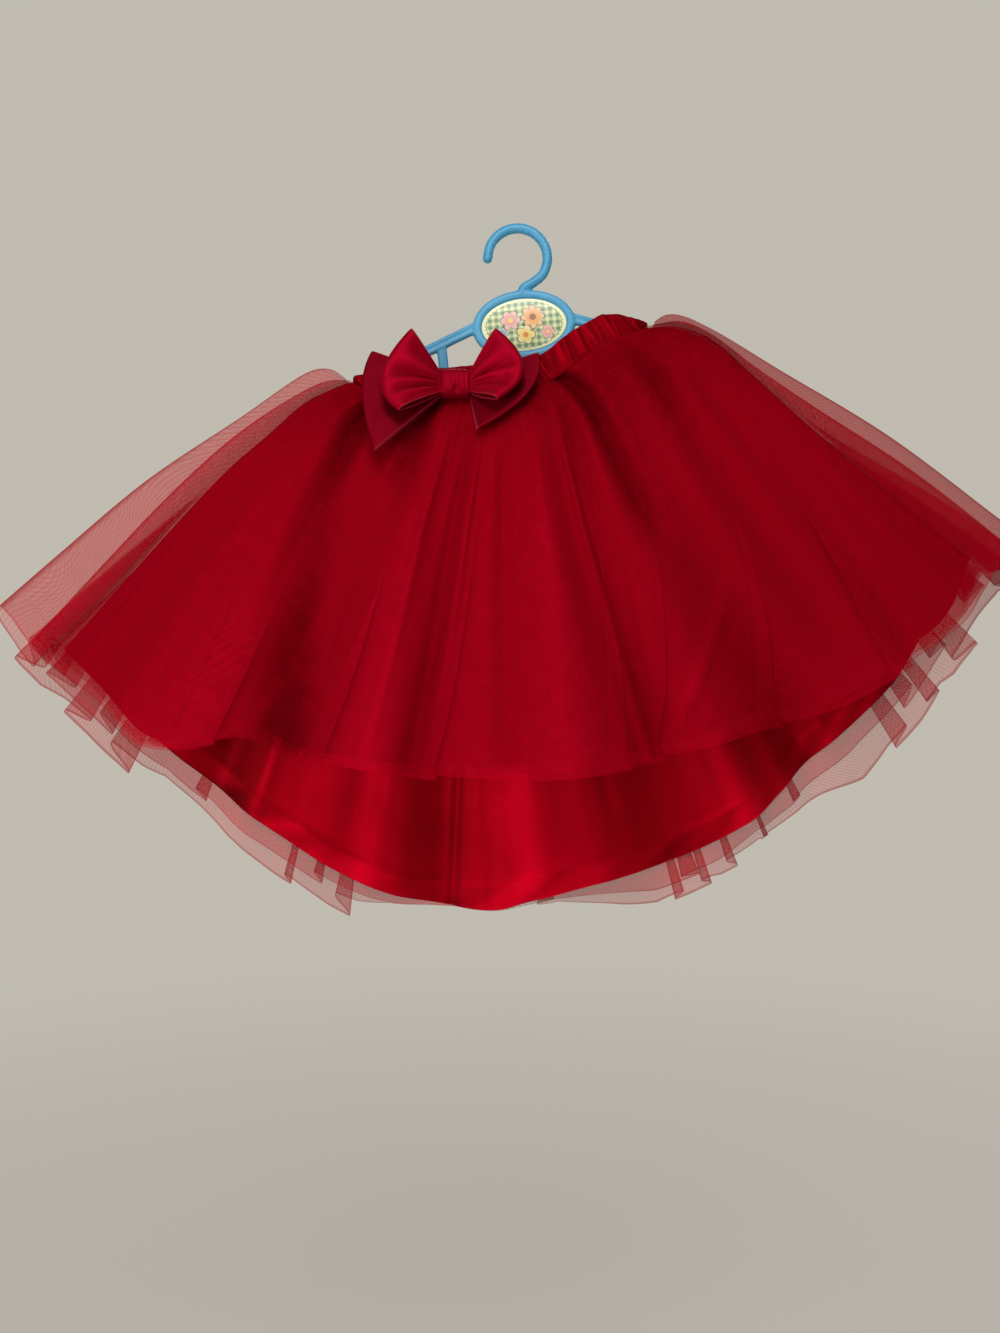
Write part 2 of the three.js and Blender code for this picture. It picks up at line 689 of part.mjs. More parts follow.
/** The three nested layers of one panel, as named geometries. */
function panelGeometries(panel) {
  const plan = panelPlan(panel);
  let under = null;
  return LAYERS.map((layer, level) => {
    const depths = layerDepths(panel, plan, level, under);
    const face = (depthAt) => {
      const grid = [];
      for (let column = depths.first; column <= depths.last; column += 1) {
        const line = [];
        for (let row = 0; row <= depths.bottom; row += 1) {
          line.push(plan(column, row).clone().setY(panel.out * depthAt(column, row)));
        }
        grid.push(line);
      }
      return grid;
    };
    under = depths;
    return {
      name: `${layer.name}_${panel.name}`,
      geometry: wallBetween(face(depths.innerDepth), face(depths.outerDepth)),
    };
  });
}

// ---- Bow ---------------------------------------------------------------------------
// Drawn about the middle of the knot, with x across, z up and -y forward.

/** The end fold of a lobe: a curve through its top, middle and bottom, t from -1 to 1. */
function lobeEnd(lobe, t) {
  const [bottom, middle, top] = [(t * (t - 1)) / 2, 1 - t * t, (t * (t + 1)) / 2];
  return [0, 1].map((k) => bottom * lobe.bottom[k] + middle * lobe.middle[k] + top * lobe.top[k]);
}

/** One line across the ribbon, at an angle from the front of the knot (0) to its back. */
function ribbonLine(loop, lobe, side, angle) {
  const out = Math.sin(angle);
  const facing = Math.cos(angle);
  const puff = facing > 0 ? loop.front : loop.back;
  const swell = BOW.pinchDepth + (puff - BOW.pinchDepth) * out ** LOOP.swelling;
  const knotEdge = side * (KNOT.width / 2 + KNOT.clear);
  const creased = (27 / 4) * out * (1 - out) ** 2; // 0 at the knot and the end fold, 1 at its most
  return Array.from({ length: BOW_ACROSS + 1 }, (_, k) => {
    const t = mix(-1, 1, k / BOW_ACROSS);
    const [endX, endZ] = lobeEnd(lobe, t);
    const pleat = facing > 0 ? loop.crease * (0.5 + Math.cos(2 * Math.PI * t)) : 0;
    return new THREE.Vector3(
      mix(knotEdge, endX, out),
      loop.layer - swell * facing - loop.reach * out ** LOOP.reaching - pleat * creased,
      mix(BOW.pinch * t, endZ, out),
    );
  });
}

/** A ribbon sewn into a ring and pinched flat in its middle, as a wall of even thickness. */
function bowLoopGeometry(loop) {
  const lines = [];
  for (const side of [1, -1]) {
    const lobe = side > 0 ? loop.right : loop.left;
    const angles = Array.from({ length: BOW_ARC_STEPS + 1 }, (_, k) => (Math.PI * k) / BOW_ARC_STEPS);
    if (side < 0) angles.reverse();
    lines.push(...angles.map((angle) => ribbonLine(loop, lobe, side, angle)));
  }
  const sections = lines.map((line, k) => {
    const before = lines[(k + lines.length - 1) % lines.length];
    const after = lines[(k + 1) % lines.length];
    const normals = line.map((_, j) => {
      const along = after[j].clone().sub(before[j]);
      const across = line[Math.min(j + 1, BOW_ACROSS)].clone().sub(line[Math.max(j - 1, 0)]);
      return along.cross(across).normalize();
    });
    const face = (offset) => line.map((p, j) => p.clone().addScaledVector(normals[j], offset));
    return [...face(BOW.wall / 2), ...face(-BOW.wall / 2).reverse()];
  });
  return loopThrough(sections);
}

/** The band round the middle of both loops: a rounded ring that they pass through. */
function knotGeometry() {
  const rounded = (shape, inset) => {
    const halfDepth = KNOT.depth / 2 - inset;
    const halfHeight = KNOT.height / 2 - inset;
    const radius = KNOT.corner - inset;
    shape.moveTo(halfDepth, 0);
    for (const [sideY, sideZ, from] of [[1, 1, 0], [-1, 1, 90], [-1, -1, 180], [1, -1, 270]]) {
      const centre = [sideY * (halfDepth - radius), sideZ * (halfHeight - radius)];
      shape.absarc(...centre, radius, radians(from), radians(from + 90));
    }
    shape.closePath();
    return shape;
  };
  const ring = rounded(new THREE.Shape(), 0);
  ring.holes.push(rounded(new THREE.Path(), KNOT.wall));
  const geometry = new THREE.ExtrudeGeometry(ring, {
    depth: KNOT.width,
    bevelEnabled: false,
    curveSegments: FACETS.knot,
  });
  const [x, y, z] = [[1, 0, 0], [0, 1, 0], [0, 0, 1]].map((axis) => new THREE.Vector3(...axis));
  return geometry
    .translate(0, 0, -KNOT.width / 2)
    .applyMatrix4(new THREE.Matrix4().makeBasis(y, z, x));
}

// ---- Assembly ----------------------------------------------------------------------

const SATIN = { color: 0xa3061f, roughness: 0.42, metalness: 0 };
const TULLE = { color: 0xb8152f, roughness: 0.85, metalness: 0 };
const PLASTIC = { color: 0x3f9fd2, roughness: 0.38, metalness: 0 };
const PRINT = { color: 0xc9d38c, roughness: 0.5, metalness: 0 };

/** A named mesh with a material of its own. */
function piece(name, geometry, finish) {
  const mesh = new THREE.Mesh(geometry, new THREE.MeshStandardMaterial(finish));
  mesh.name = name;
  return mesh;
}

const skirt = new THREE.Group();

const hanger = new THREE.Group();
hanger.position.z = -(HOOK.radius - HOOK.rod);
hanger.rotation.y = -radians(HANGER_TILT);
hanger.add(piece('hanger', hangerGeometry(), PLASTIC));
hanger.add(piece('hanger_badge', badgeGeometry(), PRINT));
skirt.add(hanger);

skirt.add(piece('waistband', waistbandGeometry(), SATIN));

for (const panel of [FRONT, BACK]) {
  for (const { name, geometry } of panelGeometries(panel)) {
    skirt.add(piece(name, geometry, name.startsWith('satin') ? SATIN : TULLE));
  }
}

const bow = new THREE.Group();
bow.position.set(BOW.x, BOW.y, BOW.z);
bow.rotation.x = radians(BOW.lean);
for (const loop of BOW_LOOPS) bow.add(piece(loop.name, bowLoopGeometry(loop), SATIN));
bow.add(piece('bow_knot', knotGeometry(), SATIN));
skirt.add(bow);

export default skirt;
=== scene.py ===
"""A child's satin skirt with two tulle overskirts, a ruched waistband and a double bow.

The skirt hangs on a moulded plastic hanger. Every piece is built in millimetres in the
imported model's own frame and made into a mesh in metres. The origin is the underside of the
hook's crown, +Z is up and the front faces -Y. The three layers of the skirt share one plan
of columns and rows in X and Z, as their solids do, so that they nest.
"""

from __future__ import annotations

import logging
import math
from dataclasses import dataclass, field
from enum import Enum
from typing import Any, Sequence

import bpy
import numpy as np
from mathutils import Matrix, Vector

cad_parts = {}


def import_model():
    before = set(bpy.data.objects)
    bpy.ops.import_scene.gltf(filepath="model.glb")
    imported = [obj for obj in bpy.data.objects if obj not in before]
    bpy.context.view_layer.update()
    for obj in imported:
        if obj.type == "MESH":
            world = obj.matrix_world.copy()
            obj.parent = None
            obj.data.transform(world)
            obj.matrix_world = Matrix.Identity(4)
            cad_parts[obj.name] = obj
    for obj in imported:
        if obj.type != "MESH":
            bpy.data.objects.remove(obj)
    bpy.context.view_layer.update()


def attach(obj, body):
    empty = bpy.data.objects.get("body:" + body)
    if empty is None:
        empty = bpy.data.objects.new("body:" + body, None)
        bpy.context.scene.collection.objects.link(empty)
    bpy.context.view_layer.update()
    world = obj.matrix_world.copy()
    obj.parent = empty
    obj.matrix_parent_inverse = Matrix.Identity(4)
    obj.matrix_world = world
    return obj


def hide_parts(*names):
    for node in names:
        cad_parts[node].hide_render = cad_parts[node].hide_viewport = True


log = logging.getLogger("skirt")

MM = 0.001
BODY = "root"

Array = np.ndarray
Row = tuple[float, ...]
Piece = bpy.types.Object
Material = bpy.types.Material
Finishes = dict[Any, Material]


class Face(Enum):
    """A side of the skirt, with the direction in which it bulges along Y."""

    FRONT = -1
    BACK = 1


class Slot(Enum):
    """The record's material slots."""

    SATIN = "satin"
    TULLE = "tulle"
    BOW = "bow_satin"
    HANGER = "hanger_plastic"
    BADGE = "badge_print"


# ---- Numbers and curves ----


def ease(share: Array) -> Array:
    """A smooth step from 0 to 1 as share goes from 0 to 1."""
    held = np.clip(share, 0.0, 1.0)
    return held * held * (3 - 2 * held)


def mix(low: Any, high: Any, share: Any) -> Any:
    """The value at share of the way from low to high."""
    return low + (high - low) * share


def bump(at: Array) -> Array:
    """A soft bump, 1 at 0 and 0 from -1 and 1 outwards."""
    return np.where(np.abs(at) < 1, np.cos(math.pi / 2 * at) ** 2, 0.0)


class PlanCurve:
    """A smooth centripetal curve through points in the plan, measured along its length."""

    STEPS = 60

    def __init__(self, rows: Sequence[Row]) -> None:
        """Works the curve out.

        Args:
            rows: the x and z of each point, in millimetres.
        """
        points = np.array(rows, float)
        points = np.vstack([2 * points[0] - points[1], points, 2 * points[-1] - points[-2]])
        gaps = np.sqrt(np.linalg.norm(np.diff(points, axis=0), axis=1))
        t = np.linspace(0, 1, self.STEPS, endpoint=False)[:, None]
        runs = []
        for k in range(1, len(points) - 2):
            before, here, there, after = points[k - 1 : k + 3]
            d0, d1, d2 = gaps[k - 1 : k + 2]
            leave = d1 * ((here - before) / d0 - (there - before) / (d0 + d1)) + (there - here)
            arrive = d1 * ((after - there) / d2 - (after - here) / (d1 + d2)) + (there - here)
            square = 3 * (there - here) - 2 * leave - arrive
            cube = 2 * (here - there) + leave + arrive
            runs.append(here + leave * t + square * t**2 + cube * t**3)
        self.points = np.vstack([*runs, points[-2:-1]])
        steps = np.linalg.norm(np.diff(self.points, axis=0), axis=1)
        along = np.concatenate([[0.0], np.cumsum(steps)])
        self.length = float(along[-1])
        self.share = along / self.length

    def at(self, share: Array) -> Array:
        """The x and z at each share of the curve's length, in a last axis of two."""
        columns = [np.interp(share, self.share, self.points[:, k]) for k in (0, 1)]
        return np.stack(columns, axis=-1)


def smooth_noise(first: Array, second: Array, seed: int) -> Array:
    """Smooth noise from -1 to 1 over two coordinates, one cell for each whole number.

    Args:
        first: the first coordinate, in cells.
        second: the second coordinate, in cells, of the same shape.
        seed: the noise's own seed.

    Returns:
        The noise at each point.
    """
    cells = 64
    table = np.random.default_rng(seed).uniform(-1, 1, (cells, cells))
    low_a, low_b = np.floor(first).astype(int), np.floor(second).astype(int)
    part_a, part_b = ease(first - low_a), ease(second - low_b)

    def corner(step_a: int, step_b: int) -> Array:
        """The table's value at one corner of each point's cell."""
        return table[(low_a + step_a) % cells, (low_b + step_b) % cells]

    near = mix(corner(0, 0), corner(1, 0), part_a)
    far = mix(corner(0, 1), corner(1, 1), part_a)
    return mix(near, far, part_b)


# ---- Meshes from grids of points ----


@dataclass
class Grid:
    """A grid of points in millimetres, [column, row], with a flat place for each.

    Attributes:
        points: the points, with a last axis of three.
        flat: where each point lies on the uncut cloth, in millimetres, as the UV map.
        marks: named values at the points for the materials: "edge" and "printed" from 0
        to 1, and the painted shading, from -1 for painted shade in the depth of a fold
        to 1 for a painted highlight on its crest. On satin the edge is a painted highlight.
    """

    points: Array
    flat: Array
    marks: dict[str, Array] = field(default_factory=dict)


def mesh_object(
    name: str, grid: Grid, faces: Array, material: Material
) -> Piece:
    """A mesh object from a grid's points.

    Args:
        name: the piece's name.
        grid: the points, their flat places and marks.
        faces: rows of four indices into the grid's points, taken in order.
        material: the piece's finish.

    Returns:
        The new object, at the origin, with smooth shading.
    """
    mesh = bpy.data.meshes.new(name)
    points = grid.points.reshape(-1, 3) * MM
    mesh.from_pydata(points, [], faces.tolist())
    corners = np.zeros(len(mesh.loops), int)
    mesh.loops.foreach_get("vertex_index", corners)
    layer = mesh.uv_layers.new(name="flat")
    layer.data.foreach_set("uv", (grid.flat.reshape(-1, 2)[corners] * MM).ravel())
    for mark, values in grid.marks.items():
        attribute = mesh.attributes.new(mark, "FLOAT", "POINT")
        attribute.data.foreach_set("value", values.reshape(-1).astype(np.float32))
    mesh.materials.append(material)
    mesh.polygons.foreach_set("use_smooth", np.ones(len(mesh.polygons), bool))
    mesh.update()
    item = bpy.data.objects.new(name, mesh)
    bpy.context.collection.objects.link(item)
    return item


def quads(columns: int, rows: int, start: int = 0, flip: bool = False) -> Array:
    """The quads of a grid of columns by rows points, numbered from start."""
    c, r = np.meshgrid(np.arange(columns - 1), np.arange(rows - 1), indexing="ij")
    a = (start + c * rows + r).ravel()
    faces = np.stack([a, a + rows, a + rows + 1, a + 1], axis=1)
    return faces[:, ::-1] if flip else faces


def ring_quads(columns: int, rows: int, cyclic: bool = True) -> Array:
    """The quads of closed sections, joined into a ring too where they are cyclic."""
    runs = columns if cyclic else columns - 1
    c, r = np.meshgrid(np.arange(runs), np.arange(rows), indexing="ij")
    after, above = (c + 1) % columns, (r + 1) % rows
    corners = [c * rows + r, after * rows + r, after * rows + above, c * rows + above]
    return np.stack(corners, axis=-1).reshape(-1, 4)


def sheet_object(
    name: str, grid: Grid, material: Material, flip: bool = False
) -> Piece:
    """An open sheet, one face thick, for net."""
    columns, rows = grid.points.shape[:2]
    return mesh_object(name, grid, quads(columns, rows, 0, flip), material)


def shell_object(
    name: str, inner: Grid, outer: Grid, material: Material, flip: bool = False
) -> Piece:
    """A closed shell between two grids of the same size, rimmed all round.

    Args:
        name: the piece's name.
        inner: the inside face.
        outer: the outside face.
        material: the piece's finish.
        flip: turns every face round, for a panel that bulges the other way.

    Returns:
        The new object.
    """
    columns, rows = inner.points.shape[:2]
    count = columns * rows
    number = np.arange(count).reshape(columns, rows)
    rim = np.concatenate(
        [number[:-1, 0], number[-1, :-1], number[:0:-1, -1], number[0, :0:-1]]
    )
    after = np.roll(rim, -1)
    band = np.stack([rim, after, after + count, rim + count], axis=1)
    sides = [quads(columns, rows, 0, not flip), quads(columns, rows, count, flip)]
    faces = np.vstack([*sides, band if flip else band[:, ::-1]])
    whole = Grid(
        np.vstack([inner.points.reshape(-1, 3), outer.points.reshape(-1, 3)]),
        np.vstack([inner.flat.reshape(-1, 2), outer.flat.reshape(-1, 2)]),
        {
            mark: np.concatenate([values.ravel(), outer.marks[mark].ravel()])
            for mark, values in inner.marks.items()
        },
    )
    return mesh_object(name, whole, faces, material)


def loop_object(
    name: str, grid: Grid, material: Material, flip: bool = False
) -> Piece:
    """A closed ring of closed sections: the grid's columns run round it and its rows across."""
    faces = ring_quads(*grid.points.shape[:2])
    return mesh_object(name, grid, faces[:, ::-1] if flip else faces, material)


def normals_of(points: Array, round_columns: bool = False) -> Array:
    """Unit normals of a grid of points, by the cross product of its two directions."""
    if round_columns:
        along = np.roll(points, -1, axis=0) - np.roll(points, 1, axis=0)
    else:
        along = np.gradient(points, axis=0)
    cross = np.cross(along, np.gradient(points, axis=1))
    return cross / np.maximum(np.linalg.norm(cross, axis=-1, keepdims=True), 1e-9)


# ---- Node trees ----


class Socket:
    """An output socket that takes part in arithmetic, adding Math nodes to its tree."""

    def __init__(self, graph: Graph, socket: bpy.types.NodeSocket) -> None:
        """Wraps a socket of a graph's tree."""
        self.graph = graph
        self.socket = socket

    def maths(self, operation: str, *values: Any) -> Socket:
        """A Math node with this socket first and the values after it."""
        inputs = dict(enumerate((self, *values)))
        return self.graph.out("ShaderNodeMath", {"operation": operation}, inputs)

    def reflected(self, operation: str, value: Any) -> Socket:
        """A Math node with the value first and this socket after it."""
        return self.graph.out("ShaderNodeMath", {"operation": operation}, {0: value, 1: self})

    def __add__(self, other: Any) -> Socket:
        """self + other."""
        return self.maths("ADD", other)

    __radd__ = __add__

    def __sub__(self, other: Any) -> Socket:
        """self - other."""
        return self.maths("SUBTRACT", other)

    def __rsub__(self, other: Any) -> Socket:
        """other - self."""
        return self.reflected("SUBTRACT", other)

    def __mul__(self, other: Any) -> Socket:
        """self * other."""
        return self.maths("MULTIPLY", other)

    __rmul__ = __mul__

    def __truediv__(self, other: Any) -> Socket:
        """self / other."""
        return self.maths("DIVIDE", other)

    def __rtruediv__(self, other: Any) -> Socket:
        """other / self."""
        return self.reflected("DIVIDE", other)

    def __pow__(self, other: Any) -> Socket:
        """self to the power other."""
        return self.maths("POWER", other)

    def cos(self) -> Socket:
        """The cosine."""
        return self.maths("COSINE")

    def size(self) -> Socket:
        """The value without its sign."""
        return self.maths("ABSOLUTE")

    def step(self, low: float, high: float) -> Socket:
        """A smooth step from 0 at low to 1 at high."""
        settings = {"interpolation_type": "SMOOTHSTEP", "clamp": True}
        inputs = {"Value": self, "From Min": low, "From Max": high}
        return self.graph.out("ShaderNodeMapRange", settings, inputs)


class Graph:
    """A node tree, built by one method for every kind of node."""

    MIX_COLOUR_INPUTS = (0, 6, 7)  # a Mix node's factor and its two colours
    MIX_COLOUR_OUTPUT = 2

    def __init__(self, tree: bpy.types.NodeTree) -> None:
        """Takes a tree to build in."""
        self.tree = tree

    def node(
        self,
        kind: str,
        settings: dict[str, Any] | None = None,
        inputs: dict[Any, Any] | None = None,
    ) -> bpy.types.Node:
        """Makes a node.

        Args:
            kind: the node's type.
            settings: its own settings, which are set first. "stops" are a ramp's.
            inputs: values or links of its sockets, by name or number.

        Returns:
            The new node.
        """
        made = self.tree.nodes.new(kind)
        for name, value in (settings or {}).items():
            if name == "stops":
                self.set_stops(made.color_ramp, value)
            else:
                setattr(made, name, value)
        self.fill(made, inputs or {})
        return made

    def fill(self, node: bpy.types.Node, inputs: dict[Any, Any]) -> None:
        """Sets or links a node's inputs, by name or number."""
        for name, value in inputs.items():
            self.feed(node.inputs[name], value)

    def feed(self, socket: bpy.types.NodeSocket, value: Any) -> None:
        """Links a wrapped socket to an input, or sets the input's own value."""
        if isinstance(value, Socket):
            self.tree.links.new(value.socket, socket)
        elif isinstance(value, bpy.types.NodeSocket):
            self.tree.links.new(value, socket)
        else:
            socket.default_value = value

    def out(
        self,
        kind: str,
        settings: dict[str, Any] | None = None,
        inputs: dict[Any, Any] | None = None,
        output: int | str = 0,
    ) -> Socket:
        """Makes a node and wraps one of its outputs."""
        return Socket(self, self.node(kind, settings, inputs).outputs[output])

    @staticmethod
    def set_stops(ramp: bpy.types.ColorRamp, stops: Sequence[tuple[float, Row]]) -> None:
        """Gives a colour ramp its stops, each a place and a colour."""
        while len(ramp.elements) < len(stops):
            ramp.elements.new(1.0)
        for element, (place, colour) in zip(ramp.elements, stops):
            element.position = place
            element.color = (*colour, 1.0)

    def blend(self, share: Socket | float, first: Any, second: Any) -> Socket:
        """Mixes two colours.

        Args:
            share: how much of the second there is.
            first: a colour's red, green and blue, or a socket.
            second: the same.

        Returns:
            The mixed colour.
        """
        colours = [(*c, 1.0) if isinstance(c, tuple) else c for c in (first, second)]
        inputs = dict(zip(self.MIX_COLOUR_INPUTS, (share, *colours)))
        settings = {"data_type": "RGBA"}
        return self.out("ShaderNodeMix", settings, inputs, self.MIX_COLOUR_OUTPUT)

    def mark(self, name: str) -> Socket:
        """A named value of the mesh."""
        settings = {"attribute_name": name}
        return self.out("ShaderNodeAttribute", settings, output="Fac")

    def parts(self, vector: Socket) -> tuple[Socket, Socket, Socket]:
        """The three parts of a vector."""
        made = self.node("ShaderNodeSeparateXYZ", inputs={0: vector})
        return tuple(Socket(self, output) for output in made.outputs)

    def scaled(self, vector: Socket, scale: Row) -> Socket:
        """A vector with each part multiplied."""
        return self.out("ShaderNodeMapping", {"vector_type": "POINT"}, {0: vector, "Scale": scale})

    def painted_shade_colour(self, tone: Socket, deep: Row, plain: Row, bright: Row) -> Socket:
        """The cloth's colour, with painted shade in its folds and painted highlight on their
        crests.

        Args:
            tone: -1 for painted shade in a fold, 1 for painted highlight on its crest.
            deep: the painted shade colour at -1.
            plain: the colour at 0.
            highlight: the painted highlight colour at 1.

        Returns:
            The colour.
        """
        colour = self.blend(tone.step(0.0, 1.0), plain, bright)
        return self.blend((tone * -1.0).step(0.0, 1.0), colour, deep)

    def relief(self, height: Socket, strength: float, distance: float) -> Socket:
        """A normal bumped by a height."""
        inputs = {"Strength": strength, "Distance": distance, "Height": height}
        return self.out("ShaderNodeBump", {}, inputs)

    def noise(self, vector: Socket, scale: float, detail: float = 2.0) -> Socket:
        """Noise from 0 to 1 at a vector, with scale in cells for each unit."""
        inputs = {"Vector": vector, "Scale": scale, "Detail": detail}
        return self.out("ShaderNodeTexNoise", {}, inputs)


def new_material(name: str) -> tuple[Material, Graph, bpy.types.Node]:
    """An empty material.

    Args:
        name: the material's name.

    Returns:
        The material, its graph, and its Principled shader, linked to the output.
    """
    material = bpy.data.materials.new(name)
    material.use_nodes = True
    material.node_tree.nodes.clear()
    graph = Graph(material.node_tree)
    shader = graph.node("ShaderNodeBsdfPrincipled")
    graph.node("ShaderNodeOutputMaterial", inputs={"Surface": shader.outputs[0]})
    return material, graph, shader


# ---- Finishes ----


@dataclass(frozen=True)
class SatinFinish:
    """A close satin weave with a soft silky gloss, painted shade in its valleys and painted
    highlight on its crests.

    Attributes:
        name: the material's name.
        deep: the painted shade colour at the bottom of a fold.
        plain: the colour of the flat cloth.
        highlight: the painted highlight colour on a fold's crest.
        edge: the painted highlight colour along a pressed edge.
        gloss: the roughness, least and most.
        silk: how far it shines like silk, in its own colour.
    """

    name: str
    deep: Row
    plain: Row
    bright: Row
    edge: Row
    gloss: Row
    silk: float

    THREADS_PER_METRE = 2600.0
    TWILL_SLOPE = 0.4
    STREAKS_PER_METRE = (60.0, 900.0, 1.0)
    CLOUDS_PER_METRE = 26.0
    STREAK_TONE = 0.35
    CLOUD_TONE = 0.6
    EDGE_SHARE = 0.7
    WEAVE_DEPTH = 0.00012
    WEAVE_STRENGTH = 0.12
    TINT = (1.0, 0.01, 0.08, 1.0)
    SHEEN_TINT = (1.0, 0.0, 0.06, 1.0)

    def make(self) -> Material:
        """Builds the material, which reads the piece's own flat map and its marks."""
        material, graph, shader = new_material(self.name)
        flat = graph.out("ShaderNodeUVMap", {"uv_map": "flat"})
        streaks = graph.noise(graph.scaled(flat, self.STREAKS_PER_METRE), 1.0)
        clouds = graph.noise(flat, self.CLOUDS_PER_METRE, 3.0)
        # Painted shade in the valleys, painted highlight on the crests and along pressed edges.
        tone = graph.mark("tone") + (streaks - 0.5) * self.STREAK_TONE
        tone = tone + (clouds - 0.5) * self.CLOUD_TONE
        colour = graph.painted_shade_colour(tone, self.deep, self.plain, self.bright)
        colour = graph.blend(graph.mark("edge") * self.EDGE_SHARE, colour, self.edge)
        across, along, _ = graph.parts(flat)
        turn = 2 * math.pi * self.THREADS_PER_METRE
        twill = (across * turn + along * (turn * self.TWILL_SLOPE)).cos()
        height = twill * 0.5 + streaks * 1.2
        weave = graph.relief(height, self.WEAVE_STRENGTH, self.WEAVE_DEPTH)
        low, high = self.gloss
        graph.fill(shader, {
            "Base Color": colour,
            "Roughness": low + (high - low) * streaks,
            "Normal": weave,
            "Metallic": self.silk,
            "Specular IOR Level": 0.25,
            "Specular Tint": self.TINT,
            "Sheen Weight": 0.06,
            "Sheen Roughness": 0.45,
            "Sheen Tint": self.SHEEN_TINT,
        })
        return material


@dataclass(frozen=True)
class TulleFinish:
    """Fine hexagonal net, see-through between its threads and denser along its folds.

    Attributes:
        name: the material's name.
        deep: the thread's painted shade colour in a valley.
        thread: its plain colour.
        glint: its painted highlight colour, on a crest and where it catches the light.
        open_alpha: how solid the holes look.
        thread_alpha: how solid the threads look.
        grain: how far the net is turned on the piece, in radians.
    """

    name: str
    deep: Row
    thread: Row
    glint: Row
    open_alpha: float
    thread_alpha: float
    grain: float

    HOLES_PER_METRE = 760.0
    THREAD_SPAN = (-0.7, 1.1)  # the net's waves from the middle of a thread to a hole
    FLECKS_PER_METRE = 420.0
    CLOUDS_PER_METRE = 90.0
    EDGE_SHARE = 0.5
    FOLD_ALPHA = 0.72
    TINT = (1.0, 0.0, 0.05, 1.0)

    def make(self) -> Material:
        """Builds the material, which reads the piece's own flat map and its marks."""
        material, graph, shader = new_material(self.name)
        flat = graph.out("ShaderNodeUVMap", {"uv_map": "flat"})
        across, along, _ = graph.parts(flat)
        turn = 2 * math.pi * self.HOLES_PER_METRE
        waves = [
            (across * (turn * math.cos(angle)) + along * (turn * math.sin(angle))).cos()
            for angle in (self.grain, self.grain + math.pi / 3, self.grain + 2 * math.pi / 3)
        ]
        net = 1.0 - (waves[0] + waves[1] + waves[2]).step(*self.THREAD_SPAN)
        fleck = graph.noise(flat, self.FLECKS_PER_METRE, 3.0)
        cloud = graph.noise(flat, self.CLOUDS_PER_METRE, 2.0)
        edge = graph.mark("edge")
        # Painted shade in valleys and painted glints on crests, varied by random flecks and clouds.
        tone = graph.mark("tone") + (fleck - 0.5) * 0.5 + (cloud - 0.5) * 0.5
        colour = graph.painted_shade_colour(tone, self.deep, self.thread, self.glint)
        colour = graph.blend(edge * self.EDGE_SHARE, colour, self.thread)
        body = self.open_alpha + (self.thread_alpha - self.open_alpha) * net
        body = body * (0.8 + 0.4 * fleck)
        graph.fill(shader, {
            "Base Color": colour,
            "Alpha": body + (self.FOLD_ALPHA - body) * edge,
            "Roughness": 0.75,
            "Specular IOR Level": 0.04,
            "Specular Tint": self.TINT,
        })
        return material


@dataclass(frozen=True)
class PlasticFinish:
    """Moulded plastic with a faint ripple and handling marks.

    Attributes:
        name: the material's name.
        colour: its own colour.
        worn: its colour where it has been handled.
    """

    name: str = "hanger_blue"
    colour: Row = (0.045, 0.29, 0.52)
    worn: Row = (0.075, 0.37, 0.62)

    CLOUDS_PER_METRE = 60.0
    GRAINS_PER_METRE = 1500.0
    MARKS_PER_METRE = (300.0, 60.0, 900.0)
    RIPPLE_STRENGTH = 0.25
    RIPPLE_DEPTH = 0.0002

    def make(self) -> Material:
        """Builds the material on Object coordinates."""
        material, graph, shader = new_material(self.name)
        place = graph.out("ShaderNodeTexCoord", output="Object")
        cloud = graph.noise(place, self.CLOUDS_PER_METRE, 3.0)
        grain = graph.noise(place, self.GRAINS_PER_METRE, 2.0)
        marks = graph.noise(graph.scaled(place, self.MARKS_PER_METRE), 1.0, 3.0)
        colour = graph.blend((cloud * 0.6 + marks * 0.5).step(0.35, 0.8), self.colour, self.worn)
        ripple = graph.relief(cloud * 0.6 + grain * 0.04, self.RIPPLE_STRENGTH, self.RIPPLE_DEPTH)
        graph.fill(shader, {
            "Base Color": colour,
            "Roughness": 0.36 + 0.16 * marks,
            "Normal": ripple,
            "Subsurface Weight": 0.08,
            "Subsurface Radius": (0.001, 0.002, 0.003),
        })
        return material


